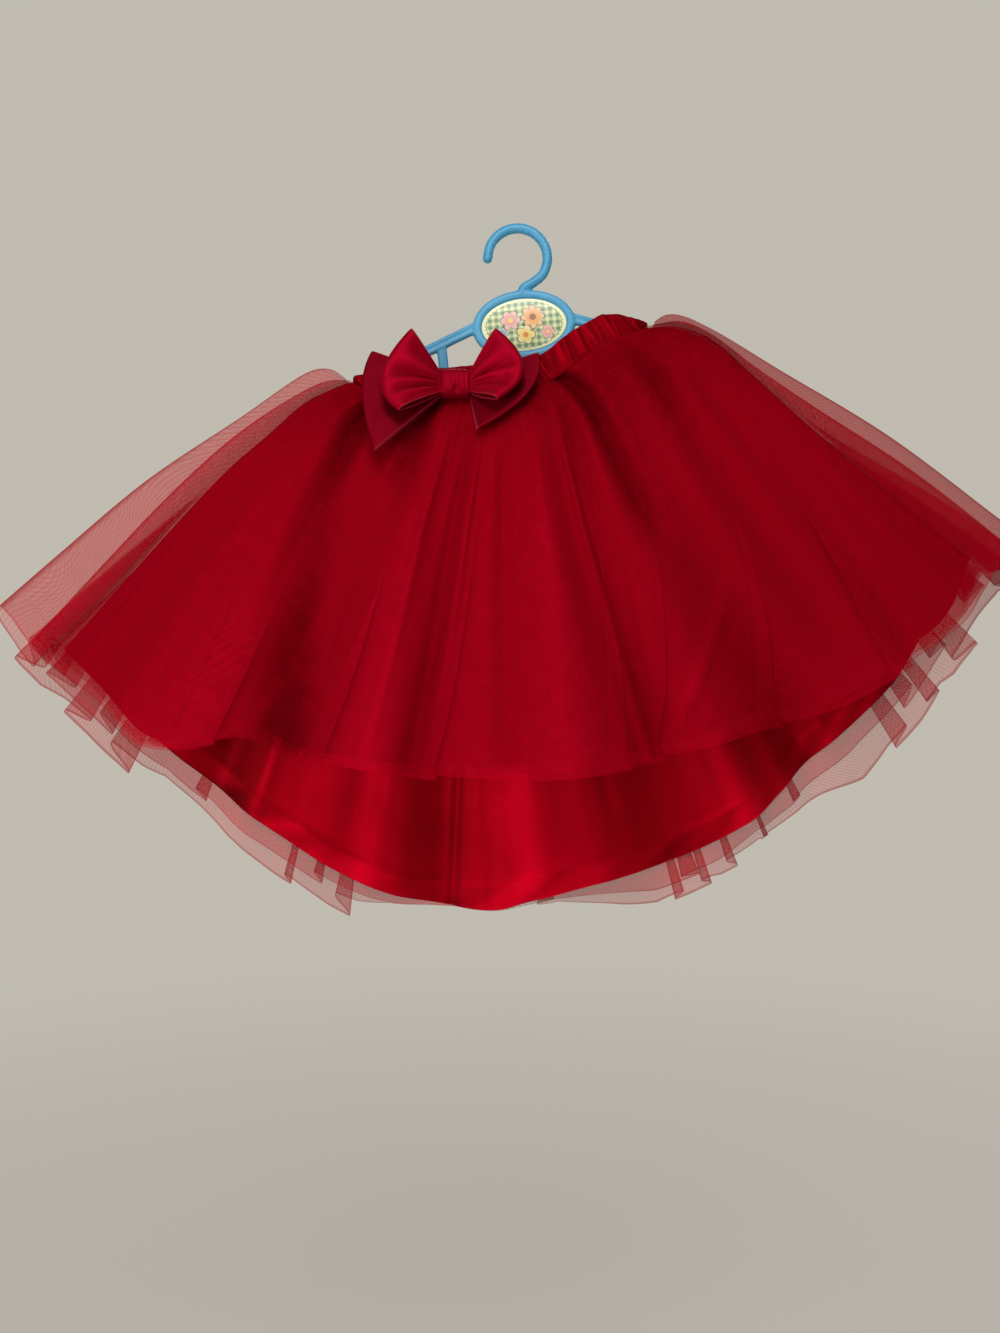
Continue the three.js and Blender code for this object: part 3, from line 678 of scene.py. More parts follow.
@dataclass(frozen=True)
class BadgeFinish:
    """A printed card: green gingham, a scalloped cream border and a posy of plain flowers.

    Attributes:
        name: the material's name.
        cream: the border's colour.
        pale: the gingham's light stripes.
        leaf: its dark stripes, and the border's outline.
        crossed: what darkens the crossing of two dark stripes.
        back: the plain back.
        check: the gingham's half period, in metres.
        scallops: how many go round.
        scallop_depth: their depth, as a share of the badge's radius.
        border: where the border starts, as the same share.
    """

    name: str = "badge_print"
    cream: Row = (0.82, 0.84, 0.5)
    pale: Row = (0.72, 0.76, 0.42)
    leaf: Row = (0.12, 0.28, 0.13)
    crossed: Row = (0.06, 0.17, 0.08)
    back: Row = (0.62, 0.6, 0.55)
    check: float = 0.0022
    scallops: int = 40
    scallop_depth: float = 0.034
    border: float = 0.93

    DOTS_PER_METRE = 2500.0
    INK = (0.3, 0.26, 0.12)
    PETAL_OUTLINE = (0.1, 0.07, 0.03)
    PETAL_TIP = (0.9, 0.8, 0.6)
    FLOWERS = (  # x, z, radius in metres, petals, petal colour, eye colour
        (-0.0085, 0.0035, 0.0066, 6, (0.75, 0.28, 0.36), (0.85, 0.62, 0.1)),
        (0.006, 0.0046, 0.0078, 8, (0.8, 0.33, 0.05), (0.28, 0.08, 0.02)),
        (0.0005, -0.0066, 0.0062, 5, (0.86, 0.66, 0.12), (0.7, 0.2, 0.04)),
        (-0.0150, -0.0050, 0.0044, 5, (0.16, 0.24, 0.5), (0.85, 0.7, 0.2)),
        (0.0150, -0.0058, 0.0046, 6, (0.75, 0.28, 0.36), (0.85, 0.62, 0.1)),
    )

    def make(self, half: Row) -> Material:
        """Builds the material, whose flat map is centred on the badge in metres.

        Args:
            half: the badge's half width and half height, in metres.

        Returns:
            The material.
        """
        material, graph, shader = new_material(self.name)
        flat = graph.out("ShaderNodeUVMap", {"uv_map": "flat"})
        across, up, _ = graph.parts(flat)
        turn = math.pi / self.check
        stripe_a = (across * turn).cos().step(-0.25, 0.25)
        stripe_b = (up * turn).cos().step(-0.25, 0.25)
        colour = graph.blend((stripe_a + stripe_b) * 0.5, self.pale, self.leaf)
        colour = graph.blend(stripe_a * stripe_b * 0.35, colour, self.crossed)
        for x, z, *flower in self.FLOWERS:
            colour = self.flower(graph, colour, (across - x, up - z), *flower)
        ring = ((across / half[0]) ** 2.0 + (up / half[1]) ** 2.0) ** 0.5
        angle = (up / half[1]).maths("ARCTAN2", across / half[0])
        scallop = (angle * (self.scallops / 2)).cos().size() * self.scallop_depth
        rim = (ring + scallop).step(self.border - 0.004, self.border + 0.004)
        outline = (ring + scallop).step(self.border - 0.035, self.border - 0.02) - rim
        colour = graph.blend(outline * 0.6, colour, self.leaf)
        colour = graph.blend(rim, colour, self.cream)
        colour = graph.blend(graph.mark("printed"), self.back, colour)
        print_dots = graph.noise(flat, self.DOTS_PER_METRE, 1.0)
        colour = graph.blend(print_dots * 0.16, colour, self.INK)
        graph.fill(shader, {
            "Base Color": colour,
            "Roughness": 0.34 + 0.1 * print_dots,
            "Coat Weight": 0.5,
            "Coat Roughness": 0.15,
        })
        return material

    def flower(
        self,
        graph: Graph,
        under: Socket,
        place: tuple[Socket, Socket],
        radius: float,
        petals: int,
        petal: Row,
        eye: Row,
    ) -> Socket:
        """Prints one round flower over a colour.

        Args:
            graph: the material's graph.
            under: the colour beneath.
            place: across and up from the flower's middle.
            radius: its radius in metres.
            petals: how many petals it has.
            petal: the petals' colour.
            eye: the colour of its middle.

        Returns:
            The colour with the flower on it.
        """
        across, up = place
        out = (across * across + up * up) ** 0.5 / radius
        angle = up.maths("ARCTAN2", across)
        lobe = (angle * (petals / 2)).cos().size() * 0.34 + 0.66
        shape = 1.0 - (out / lobe).step(0.94, 1.0)
        rim = 1.0 - (out / lobe).step(1.02, 1.1)
        colour = graph.blend(rim, under, self.PETAL_OUTLINE)
        shaded = graph.blend(out.step(0.2, 1.0) * 0.5, petal, self.PETAL_TIP)
        colour = graph.blend(shape, colour, shaded)
        return graph.blend(1.0 - out.step(0.24, 0.3), colour, eye)


@dataclass(frozen=True)
class PaleFinish:
    """The plain matt floor, which goes over into the air's own colour with its distance.

    Attributes:
        name: the material's name.
        colour: the floor's own colour.
        fade: how far from the origin the fading starts and ends, in metres.
    """

    name: str = "studio_floor"
    colour: Row = (0.8, 0.76, 0.7)
    fade: Row = (-0.6, 2.6)

    def make(self, air: Row) -> Material:
        """Builds the material.

        Args:
            air: the colour of the surroundings.

        Returns:
            The material.
        """
        material, graph, shader = new_material(self.name)
        place = graph.out("ShaderNodeTexCoord", output="Object")
        across, away, _ = graph.parts(place)
        far = ((across * across + away * away) ** 0.5).step(*self.fade)
        black = (0.0, 0.0, 0.0)
        graph.fill(shader, {
            "Base Color": graph.blend(far, self.colour, black),
            "Emission Color": graph.blend(far, black, air),
            "Emission Strength": 1.0,
            "Roughness": 0.9,
            "Specular IOR Level": 0.0,
        })
        return material


# ---- The skirt's plan ----


@dataclass
class Panel:
    """One side of the skirt: its hem, its depth along Y and the folds that run down it.

    Attributes:
        face: the side it is on.
        hem: x and z along the satin's hem.
        waist_depth: the opening's half depth at the side and what the middle adds.
        hem_depth: the depth at the middle of the hem, and how it falls to the sides.
        flutes: waist and hem place as shares across, half width and lift in millimetres.
        creases: the same, with the share of the way down where each starts and ends. They
        are narrower than the flutes and give the cloth its sharper lines. Flutes and
        creases also set the cloth's painted shade and painted highlight.
        drops: share across, and how far the inner and the outer tulle hang below.
    """

    face: Face
    hem: Sequence[Row]
    waist_depth: Row
    hem_depth: Row
    flutes: Sequence[Row]
    creases: Sequence[Row]
    drops: Sequence[Row]

    def __post_init__(self) -> None:
        """Works out the hem's curve."""
        self.hem_curve = PlanCurve(self.hem)

    @property
    def label(self) -> str:
        """The panel's word in the names of its pieces."""
        return self.face.name.lower()

    def folds(self, u: Array, v: Array) -> Array:
        """How far the folds stand out at shares across and down, in millimetres."""
        total = np.zeros_like(u)
        for at_waist, at_hem, width, lift in self.flutes:
            total += lift * v**0.8 * bump((u - mix(at_waist, at_hem, v)) / width)
        for at_waist, at_hem, width, lift, start, end in self.creases:
            faded = ease((v - start) / 0.2) * (1 - ease((v - end + 0.2) / 0.2))
            total += lift * faded * bump((u - mix(at_waist, at_hem, v)) / width)
        return total


FRONT = Panel(
    face=Face.FRONT,
    hem=(
        (-294.8, -270.4), (-262, -300), (-231, -325), (-199, -326), (-166, -320), (-134, -331),
        (-96, -336), (-56, -340), (35, -337), (109, -323), (142, -311), (171, -307), (219, -285),
        (274, -249), (294.1, -211.3),
    ),
    waist_depth=(5, 6),
    hem_depth=(68, 1.3),
    flutes=(
        (0.14, 0.15, 0.11, 7), (0.26, 0.265, 0.09, -3), (0.34, 0.345, 0.07, 7),
        (0.4, 0.39, 0.036, -6), (0.47, 0.468, 0.13, 5), (0.58, 0.61, 0.04, -5),
        (0.64, 0.655, 0.08, 3), (0.75, 0.735, 0.07, -7), (0.85, 0.832, 0.13, 4),
    ),
    creases=(
        (0.14, 0.262, 0.055, -9, -0.1, 1.2), (0.43, 0.388, 0.018, -3.5, 0.1, 1.2),
        (0.455, 0.403, 0.009, 2.2, 0.15, 1.2), (0.36, 0.30, 0.012, 1.6, 0.3, 0.9),
        (0.57, 0.535, 0.045, 4, 0.05, 1.2), (0.50, 0.475, 0.022, -2.2, 0.1, 1.1),
        (0.645, 0.61, 0.03, -4, 0.0, 1.2), (0.61, 0.602, 0.009, 3.0, 0.1, 1.2),
        (0.685, 0.72, 0.034, -8, -0.3, 0.6), (1.05, 0.615, 0.013, 2.4, 0.6, 1.2),
        (0.7, 0.665, 0.035, 1, 0.4, 1.2), (0.83, 0.82, 0.05, -6, 0.0, 1.0),
        (0.9, 0.88, 0.04, -3, 0.1, 1.2), (0.2, 0.21, 0.03, 1.5, 0.1, 0.9),
        (0.3, 0.235, 0.014, 1.4, 0.5, 1.1), (0.09, 0.09, 0.02, 1.4, 0.2, 1.1),
        (0.05, 0.05, 0.016, -1.6, 0.2, 1.1), (0.38, 0.345, 0.012, 2.0, 0.1, 1.1),
        # The crease at 0.31, under the bow, is a dent whose painted shade stands for the bow's
        # shadow.
        (0.31, 0.32, 0.045, -6, -0.3, 0.45), (0.96, 0.88, 0.03, -1.6, 0.3, 1.1),
        (0.98, 0.95, 0.02, 1.4, 0.4, 1.1),
    ),
    drops=((0, 6, 4), (0.08, 2.5, 1.5), (0.2, 3, 2), (0.8, 4, 2), (0.92, 3, 2), (1, 6, 4)),
)

BACK = Panel(
    face=Face.BACK,
    hem=(
        (-294.8, -270.4), (-235, -331.5), (-200, -363.5), (-151, -397.5), (-112, -421),
        (-65, -438), (-15, -443.5), (10, -436), (82, -418), (122, -403), (162, -377.5),
        (188, -351), (227, -314), (250, -289), (269, -255), (294.1, -211.3),
    ),
    waist_depth=(5, 3.5),
    hem_depth=(18, 0.7),
    flutes=(
        (0.16, 0.165, 0.055, 8), (0.29, 0.3, 0.08, -3), (0.4, 0.405, 0.042, 8),
        (0.48, 0.49, 0.06, -5), (0.62, 0.62, 0.05, 4), (0.69, 0.695, 0.045, -5),
        # The second flute here, a broad dent at 0.53, brightens the back's inside with painted
        # light.
        (0.765, 0.772, 0.032, 8), (0.53, 0.54, 0.1, -4.5),
    ),
    creases=(
        (0.43, 0.417, 0.007, 1.6, 0.3, 1.2), (0.36, 0.35, 0.04, -3.5, 0.4, 1.2),
        (0.5, 0.51, 0.04, -2.5, 0.3, 1.2), (0.54, 0.55, 0.03, -2.4, 0.4, 1.1),
        (0.18, 0.18, 0.045, 6, 0.7, 1.3), (0.22, 0.22, 0.016, -1.2, 0.3, 1.1),
        (0.7, 0.705, 0.022, -3, 0.5, 1.2), (0.84, 0.84, 0.04, -2, 0.4, 1.1),
        (0.9, 0.9, 0.03, 3, 0.3, 1.1), (0.58, 0.575, 0.012, 1.2, 0.2, 1.0),
        (0.08, 0.07, 0.02, -1.6, 0.3, 1.1), (0.94, 0.95, 0.015, -1.2, 0.4, 1.1),
    ),
    drops=(
        (0, 13, 9), (0.04, 14, 9), (0.09, 13, 12), (0.13, 9, 9), (0.2, 12, 10), (0.26, 11, 10),
        (0.315, 10, 11), (0.36, 6, 4), (0.43, 1.2, 1.2), (0.5, 1.2, 1.2), (0.55, 6, 6),
        (0.6, 12, 11), (0.66, 11, 11), (0.7, 6, 5), (0.75, 10, 8), (0.81, 14, 14),
        (0.86, 12, 11), (0.9, 13, 11), (0.95, 15, 13), (1, 13, 11),
    ),
)


@dataclass
class Waist:
    """The waistband's run from its left end to its right.

    Attributes:
        run: x, the top edge in front, the top edge behind, and the height.
        corners: where the panels' top edge turns up beside each end, as x and z.
        inset: how far inside each end the panels' top edge starts.
        seam: the gap between the band and the panels.
    """

    run: Sequence[Row] = (
        (-105.6, -94.3, -94.3, 5.5), (-90, -93.2, -95.5, 14), (-65, -92, -97, 19.5),
        (-40, -90, -97, 20), (-12, -87, -95, 20), (14, -82, -89, 21), (35, -66.5, -77, 23),
        (55, -56.2, -66, 19), (71, -56.6, -61, 12), (82.9, -59.2, -59.2, 5.5),
    )
    corners: Sequence[Row] = ((-108.2, -97.6), (85.9, -62.2))
    inset: float = 2.5
    seam: float = 0.3

    def column(self, number: int, x: Array) -> Array:
        """A column of the run, smooth from row to row.

        Args:
            number: the column.
            x: where it is wanted, in millimetres.

        Returns:
            Its value at each x.
        """
        table = np.array(self.run, float)
        places, values = table[:, 0], table[:, number]
        last = len(places) - 1
        before = np.maximum(np.arange(last + 1) - 1, 0)
        after = np.minimum(np.arange(last + 1) + 1, last)
        slopes = (values[after] - values[before]) / (places[after] - places[before])
        low = np.clip(np.searchsorted(places, x) - 1, 0, last - 1)
        span = places[low + 1] - places[low]
        t = np.clip((x - places[low]) / span, 0, 1)
        return (
            (2 * t**3 - 3 * t**2 + 1) * values[low]
            + (t**3 - 2 * t**2 + t) * span * slopes[low]
            + (3 * t**2 - 2 * t**3) * values[low + 1]
            + (t**3 - t**2) * span * slopes[low + 1]
        )

    def top(self, face: Face, x: Array) -> Array:
        """The band's top edge on a side."""
        return self.column(1 if face is Face.FRONT else 2, x)

    def height(self, x: Array) -> Array:
        """The band's height."""
        return self.column(3, x)

    def under(self, face: Face, x: Array) -> Array:
        """The line just under the band on a side."""
        return self.top(face, x) - self.height(x) - self.seam

    def edge(self, face: Face, folds: tuple[Row, Row], u: Array) -> Array:
        """The panels' top edge, which runs under the band from corner to corner.

        Args:
            face: the side that the panel is on.
            folds: x and z of the tops of the two side folds.
            u: shares across.

        Returns:
            The edge's x and z, in a last axis of two.
        """
        step = 1.0 / Plan.COLUMNS
        places = (0, step, 2 * step, 1 - 2 * step, 1 - step, 1)
        ends = (self.run[0][0] + self.inset, self.run[-1][0] - self.inset)
        turns = [
            folds[0], self.corners[0], *((x, self.under(face, x)) for x in ends),
            self.corners[1], folds[1],
        ]
        x, sides = (np.interp(u, places, values) for values in zip(*turns))
        inside = (u >= 2 * step) & (u <= 1 - 2 * step)
        return np.stack([x, np.where(inside, self.under(face, x), sides)], axis=-1)


class Plan:
    """The X and Z of every column and row that the three layers share.

    A column is a number from 0 to COLUMNS across the satin, and it goes on to -1 and -2, or
    past COLUMNS, where the inner and the outer tulle reach past the satin's side folds. A
    row is a share from 0 at the waist to 1 at the satin's hem, and more below it.
    """

    COLUMNS = 39
    HEM_SHARES = (1.0, 0.955, 0.93)  # how far down each layer's side folds the hem's row is
    LEFT_FOLDS = (  # each layer's left side fold, as x and z from the top
        ((-109.8, -97), (-122, -102), (-137.5, -109.8), (-162, -131), (-192, -157.5),
         (-294.8, -270.4)),
        ((-111.4, -95.2), (-124, -96), (-139.6, -102.7), (-180.6, -129.2), (-223.3, -167),
         (-270.9, -216.8), (-315.1, -264.6)),
        ((-113, -93.4), (-119.6, -89), (-127, -87.8), (-137, -90.6), (-180.6, -120),
         (-241.7, -161), (-297, -207.4), (-338, -243)),
    )
    RIGHT_FOLDS = (
        ((87.6, -61.6), (101.7, -60.6), (125.1, -68.5), (153, -92.5), (194.7, -130),
         (294.1, -211.3)),
        ((88.4, -59.4), (106, -57), (126, -65.4), (155, -87), (191.2, -111.5), (259, -156),
         (335.1, -215.8)),
        ((89.2, -57.2), (96, -53), (106, -53.2), (126, -62), (169.7, -88.3), (240.8, -131.3),
         (313.6, -185.9), (343, -208)),
    )

    def __init__(self, waist: Waist) -> None:
        """Works out the side folds' curves."""
        self.waist = waist
        both = zip(self.LEFT_FOLDS, self.RIGHT_FOLDS)
        self.folds = [(PlanCurve(left), PlanCurve(right)) for left, right in both]

    def satin(self, panel: Panel, u: Array, v: Array) -> Array:
        """The satin's own place, blended between its four edges.

        Args:
            panel: the side of the skirt.
            u: shares across.
            v: shares down.

        Returns:
            X and Z, in a last axis of two.
        """
        left, right = self.folds[0]
        tops = (tuple(left.at(0.0)), tuple(right.at(0.0)))
        top, bottom = self.waist.edge(panel.face, tops, u), panel.hem_curve.at(u)
        u, v = u[..., None], v[..., None]
        down = mix(top, bottom, v)
        across = mix(left.at(v[..., 0]), right.at(v[..., 0]), u)
        corners = mix(mix(left.at(0.0), right.at(0.0), u), mix(left.at(1.0), right.at(1.0), u), v)
        return down + across - corners

    def past(self, column: Array) -> Array:
        """How many columns past the nearer of the satin's side folds a column lies."""
        return np.maximum(-column, column - self.COLUMNS)

    def point(self, panel: Panel, column: Array, row: Array) -> Array:
        """The place of columns and rows down to the satin's hem, past its side folds too.

        Args:
            panel: the side of the skirt.
            column: the columns.
            row: the rows, of which those below the hem count as the hem's.

        Returns:
            X and Z, in a last axis of two.
        """
        v = np.clip(row, 0, 1)
        u = np.clip(column / self.COLUMNS, 0, 1)
        points = self.satin(panel, u, v)
        past = self.past(column)
        for side, here in enumerate((column < 0, column > self.COLUMNS)):
            lines = [
                pair[side].at(v * share) for pair, share in zip(self.folds, self.HEM_SHARES)
            ]
            first = mix(lines[0], lines[1], np.clip(past, 0, 1)[..., None])
            second = mix(lines[1], lines[2], np.clip(past - 1, 0, 1)[..., None])
            outward = np.where((past > 1)[..., None], second, first)
            points = np.where(here[..., None], outward, points)
        return points

    def from_fold(self, points: Array, row: Array) -> Array:
        """How far points are from the nearer of the satin's side folds in their rows."""
        v = np.clip(row, 0, 1)
        gaps = [np.linalg.norm(points - curve.at(v), axis=-1) for curve in self.folds[0]]
        return np.minimum(*gaps)


# ---- Skirt ----


@dataclass
class Tucks:
    """Folds of net laid over themselves, each a flat Z from the waist down to the hem.

    Attributes:
        rows: column at the waist and at the hem, half width over and the step made in the
            hem, both in millimetres, and the share of the way down where it starts.
        spread: how far apart the three plies lie.
    """

    rows: Sequence[Row]
    spread: float

    REACH = 0.55  # a fold's half width over, as a share of the width that it takes up
    SPLAY = 0.12  # how much wider a fold gets from the satin's hem to its own
    FULL_ROW = 0.94  # where a fold has its full width
    TURNING = 0.397  # where the cloth turns over, as a share of the width that it takes up
    EDGE_WIDTH = 0.9  # how wide the turned edge is marked, in millimetres
    FOLD_COLUMNS = 33  # extra columns for each fold
    CLOSEST = 0.004  # the least gap between two columns
    STEP_RUN = 1 / 22  # columns that a step in the hem takes for each millimetre of its fold

    def width(self, over: float, pitch: float) -> float:
        """The width that a fold takes up, in columns."""
        return over / self.REACH / pitch

    def fold(self, column: Array, row: Array, pitch: float) -> tuple[Array, Array, Array]:
        """Folds the columns over.

        Args:
            column: the columns before folding.
            row: the rows, as shares of the way down.
            pitch: millimetres to a column at the hem.

        Returns:
            The folded columns, how far the plies stand apart, and a mark along the edges.
        """
        folded, apart, edge = column.copy(), np.zeros_like(column), np.zeros_like(column)
        for waist, hem, over, _, start in self.rows:
            grown = ease((row - start) / (self.FULL_ROW - start))
            grown = grown * (1 + self.SPLAY * np.maximum(row - 1, 0))
            width = self.width(over, pitch)
            t = (column - mix(waist, hem, np.clip(row, 0, 1))) / width
            wave = np.where(np.abs(t) < 1, np.sin(math.pi * np.clip(t, -1, 1)), 0.0)
            folded -= grown * width * wave
            apart -= grown * wave
            from_edge = (np.abs(t) - self.TURNING) * width * pitch / self.EDGE_WIDTH
            edge += grown * np.exp(-(from_edge**2))
        return folded, apart * self.spread, np.clip(edge, 0, 1)

    def denser(self, columns: Array, pitch: float, level: int) -> Array:
        """Adds columns where the folds lie.

        Args:
            columns: the layer's own columns at the hem.
            pitch: millimetres to a column at the hem.
            level: the layer's level.

        Returns:
            All the columns at the hem.
        """
        spread = np.linspace(-1, 1, self.FOLD_COLUMNS)
        close = [hem + self.width(over, pitch) * spread for _, hem, over, _, _ in self.rows]
        together = np.sort(np.concatenate([columns, *close]))
        inside = together[(together > -level) & (together < Plan.COLUMNS + level)]
        kept = np.concatenate([[True], np.diff(inside) > self.CLOSEST])
        return np.concatenate([[-level], inside[kept], [Plan.COLUMNS + level]])

    def at_waist(self, at_hem: Array, level: int) -> Array:
        """The columns at the waist that run down to those at the hem along the folds."""
        rows = sorted(self.rows, key=lambda row: row[1])
        waists, hems = (
            [-level, *(row[k] for row in rows), Plan.COLUMNS + level] for k in (0, 1)
        )
        return np.interp(at_hem, hems, waists)

    def steps(self, column: Array) -> Array:
        """How much lower the hem hangs at each column, for the steps that the folds make."""
        places, values = [-3.0], [0.0]
        for _, hem, over, step, _ in sorted(self.rows, key=lambda row: row[1]):
            places += [hem - over * self.STEP_RUN, hem + over * self.STEP_RUN]
            values += [step / 2, -step / 2]
        places.append(Plan.COLUMNS + 3.0)
        values.append(0.0)
        return np.interp(column, places, values)


@dataclass
class Layer:
    """One layer of the skirt.

    Attributes:
        name: the first part of its pieces' names.
        level: 0 for the satin, 1 and 2 for the inner and outer tulle.
        wall: how thick its solid is, which it keeps clear for itself.
        gathers: how many small gathers it has under the band on each panel.
        gather_depth: how deep they are.
        seed: the seed of its unevenness.
        tucks: the folds of each panel.
        ripple: the depth of the small waves that run down it.
    """

    name: str
    level: int
    wall: float
    gathers: int
    gather_depth: float
    seed: int
    tucks: dict[Face, Tucks]
    ripple: float


NO_TUCKS = Tucks(rows=(), spread=0.0)

SATIN = Layer(
    name="satin", level=0, wall=1.3, gathers=46, gather_depth=1.5, seed=11,
    tucks={Face.FRONT: NO_TUCKS, Face.BACK: NO_TUCKS}, ripple=0.5,
)

INNER = Layer(
    name="tulle_inner", level=1, wall=1.05, gathers=60, gather_depth=0.8, seed=23,
    tucks={
        Face.FRONT: Tucks(
            rows=(
                (1.0, 0.2, 8, 5, 0.1), (5, 5.5, 6, 3, 0.4), (12, 10.6, 6, 3, 0.3),
                (19, 15.2, 5, 3, 0.25), (27, 23.5, 5, 3, 0.2), (33, 29.5, 6, 3, 0.3),
                (38, 38.2, 9, 5, 0.1),
            ),
            spread=0.32,
        ),
        Face.BACK: Tucks(
            rows=(
                (1.0, 0.5, 8, -7, 0.1), (2.7, 2.5, 6, 6, 0.3), (6.6, 6.4, 4, 4, 0.5),
                (11.4, 11.4, 3, 5, 0.4), (24.7, 24.7, 5, 3, 0.4), (29.2, 29.2, 3, 3, 0.4),
                (34.2, 34.3, 6, -6, 0.3), (36.2, 36.1, 6, 7, 0.2), (38, 38.3, 7, 6, 0.1),
            ),
            spread=0.32,
        ),
    },
    ripple=0.45,
)

OUTER = Layer(
    name="tulle_outer", level=2, wall=1.05, gathers=70, gather_depth=0.8, seed=37,
    tucks={
        Face.FRONT: Tucks(
            rows=(
                (0.5, -0.6, 6, 6, 0.15), (8, 7.6, 5, 3, 0.4), (14, 11.7, 6, 4, 0.2),
                (19.1, 15.6, 7, 3, 0.15), (26, 22.4, 6, 3, 0.05), (30.8, 23.6, 5, 4, 0.05),
                (36, 28, 6, 4, 0.1), (37, 33.5, 6, 3, 0.3), (38.6, 39.4, 8, 6, 0.1),
            ),
            spread=0.75,
        ),
        Face.BACK: Tucks(
            rows=(
                (0.2, -0.7, 7, -9, 0.15), (1.6, 1.5, 7, -9, 0.3), (3.6, 3.4, 8, 8, 0.4),
                (10.2, 10.3, 2.4, 4, 0.5), (12.4, 12.4, 5, 9, 0.4), (19, 19.6, 5, 2, 0.5),
                (24, 24.2, 3, -4, 0.4), (25.3, 25.2, 2.6, 5, 0.4), (26.2, 26.2, 2.6, 6, 0.4),
                (27.6, 27.6, 1.6, 3, 0.5), (33.4, 33.4, 6, -8, 0.3), (35.2, 35.1, 5, 6, 0.3),
                (37, 36.9, 8, 9, 0.2), (38.8, 39.4, 6, 5, 0.1),
            ),
            spread=0.75,
        ),
    },
    ripple=0.7,
)


class Skirt:
    """The satin underskirt and its two tulle overskirts, each with a front and a back.

    Where a method takes columns and rows, they are the plan's, one of each for every point,
    and it gives one value, in millimetres unless it says otherwise, for each of them.
    """

    DEEP_FOLD = 15.0  # fold depth given the darkest painted shade and the brightest painted highlight
    OWN_TONE = 0.7  # how much a layer's own folds count for its painted shading
    # Through the edge mark, DOUBLED also darkens the net there with painted shade.
    DOUBLED = 0.4  # how much denser the net is where it is bunched, at its right side
    GLOW = 0.5  # how much brighter the net is where light comes through it
    EDGE_SHADE = 0.8  # how much painted shade darkens the net along its folds and hem
    TUCK_EDGE = 0.75  # how strongly the edge of a tuck is marked
    HEM_EDGE = 0.85  # how strongly the net's hem is
    UNDER_BAND = 0.5  # how much painted shade darkens the gathered cloth under the band how far down that painted shade reaches
    UNDER_BAND_SHADE_REACH = 0.42  # how far down that goes
    EDGE_RISE = 5.5  # how far from a side fold the cloth has opened out
    LAYER_GAP = 0.4  # room between one layer's wall and the next
    INNER_ROOM = 1.3  # room for the satin's own folds
    OUTER_ROOM = 1.2  # room for the inner tulle's own folds
    OUTER_FLARE = 2.2  # how much further out the outer tulle stands at the hem
    STEEPEST = 1.6  # the most that a wall on a slope is thickened
    COLUMN_STEP = 1.9  # millimetres from column to column, for that slope
    CLOTH = 0.5  # thickness of the satin
    HEM_BAND = 15.0  # height of the turned-up hem
    HEM_LEDGE = 0.55  # how far it stands inwards
    HEM_PUCKER = 0.3  # how far it puckers
    SEAM_DENT = 0.18  # how far the stitched line above it sinks in
    INSIDE_LIGHT = 0.16  # how much painted light brightens the satin's inside
    BLOTCHES = 0.55  # how unevenly the turned-up hem takes the light
    SIDE_STEPS = 14  # columns between one layer's side fold and the next
    SIDE_DROPS = (0.0, 12.0, 20.0)  # how far each layer hangs down at its side folds
    FLARE = (0.0, 0.1, 0.15)  # how far each layer goes out for its length below the hem
    NET_ROWS = 50  # rows of the net down to the satin's hem
    HEM_ROWS = (1.25, 1.5, 1.75, 1.93, 1.965, 2.0)  # and below it, to the net's own hem
    HEM_LINE = 1.96  # the row from which the net's hem is marked
    ABOVE_HEM = 0.9  # the row from which the way down at the hem is taken
    CLOTH_ROWS = (74, 12)  # rows of the satin above its turned-up hem, and down it
    STITCH_DROP = 1.6  # how far the stitches lie below the top of the turned-up hem
    STITCH_LIFT = 0.12  # how far they stand off it
    UNSTITCHED = 6  # columns without stitches at each end

    def __init__(self, plan: Plan, finishes: Finishes) -> None:
        """Takes the shared plan and the finishes by slot."""
        self.plan = plan
        self.finishes = finishes

    def columns(self, level: int) -> Array:
        """The columns of a layer, closer together towards its side folds."""
        inside = np.linspace(0, Plan.COLUMNS, 381)
        close = np.linspace(0, 1, 17)
        together = np.concatenate([inside, close, Plan.COLUMNS - 1 + close])
        columns = np.unique(together.round(5))
        for past in range(level):
            side = np.linspace(0, 1, self.SIDE_STEPS + 1)[1:]
            columns = np.concatenate([(-past - side)[::-1], columns, Plan.COLUMNS + past + side])
        return columns

    def wrinkles(self, layer: Layer, face: Face, column: Array, row: Array) -> Array:
        """Small uneven waves that run down a layer, never inwards of it."""
        seed = layer.seed + (100 if face is Face.BACK else 0)
        long = smooth_noise(column * 0.9, row * 2.2, seed)
        short = smooth_noise(column * 2.6 + row * 2.0, row * 5.0, seed + 1)
        fine = smooth_noise(column * 6.0 - row * 4.0, row * 9.0, seed + 2)
        return layer.ripple * (1.1 + 0.55 * long + 0.3 * short + 0.12 * fine)

    def gathers(self, layer: Layer, face: Face, column: Array, row: Array) -> Array:
        """The gathers under the band: uneven, and each fading at a length of its own."""
        random = np.random.default_rng(layer.seed + (7 if face is Face.BACK else 3))
        u = column / Plan.COLUMNS
        total = np.zeros_like(u)
        for k in range(layer.gathers):
            middle = (k + 0.5 + random.uniform(-0.3, 0.3)) / layer.gathers
            drift = random.uniform(-0.012, 0.012)
            width = random.uniform(0.45, 0.8) / layer.gathers
            depth = layer.gather_depth * random.uniform(0.5, 1.25)
            reach = random.uniform(0.16, 0.5)
            faded = 1 - ease(row / reach)
            total += depth * faded * bump((u - middle - drift * row) / (width * (1 + row)))
        return total

    def own_folds(self, layer: Layer, face: Face, column: Array, row: Array) -> Array:
        """A layer's own gathers and wrinkles."""
        return self.gathers(layer, face, column, row) + self.wrinkles(layer, face, column, row)

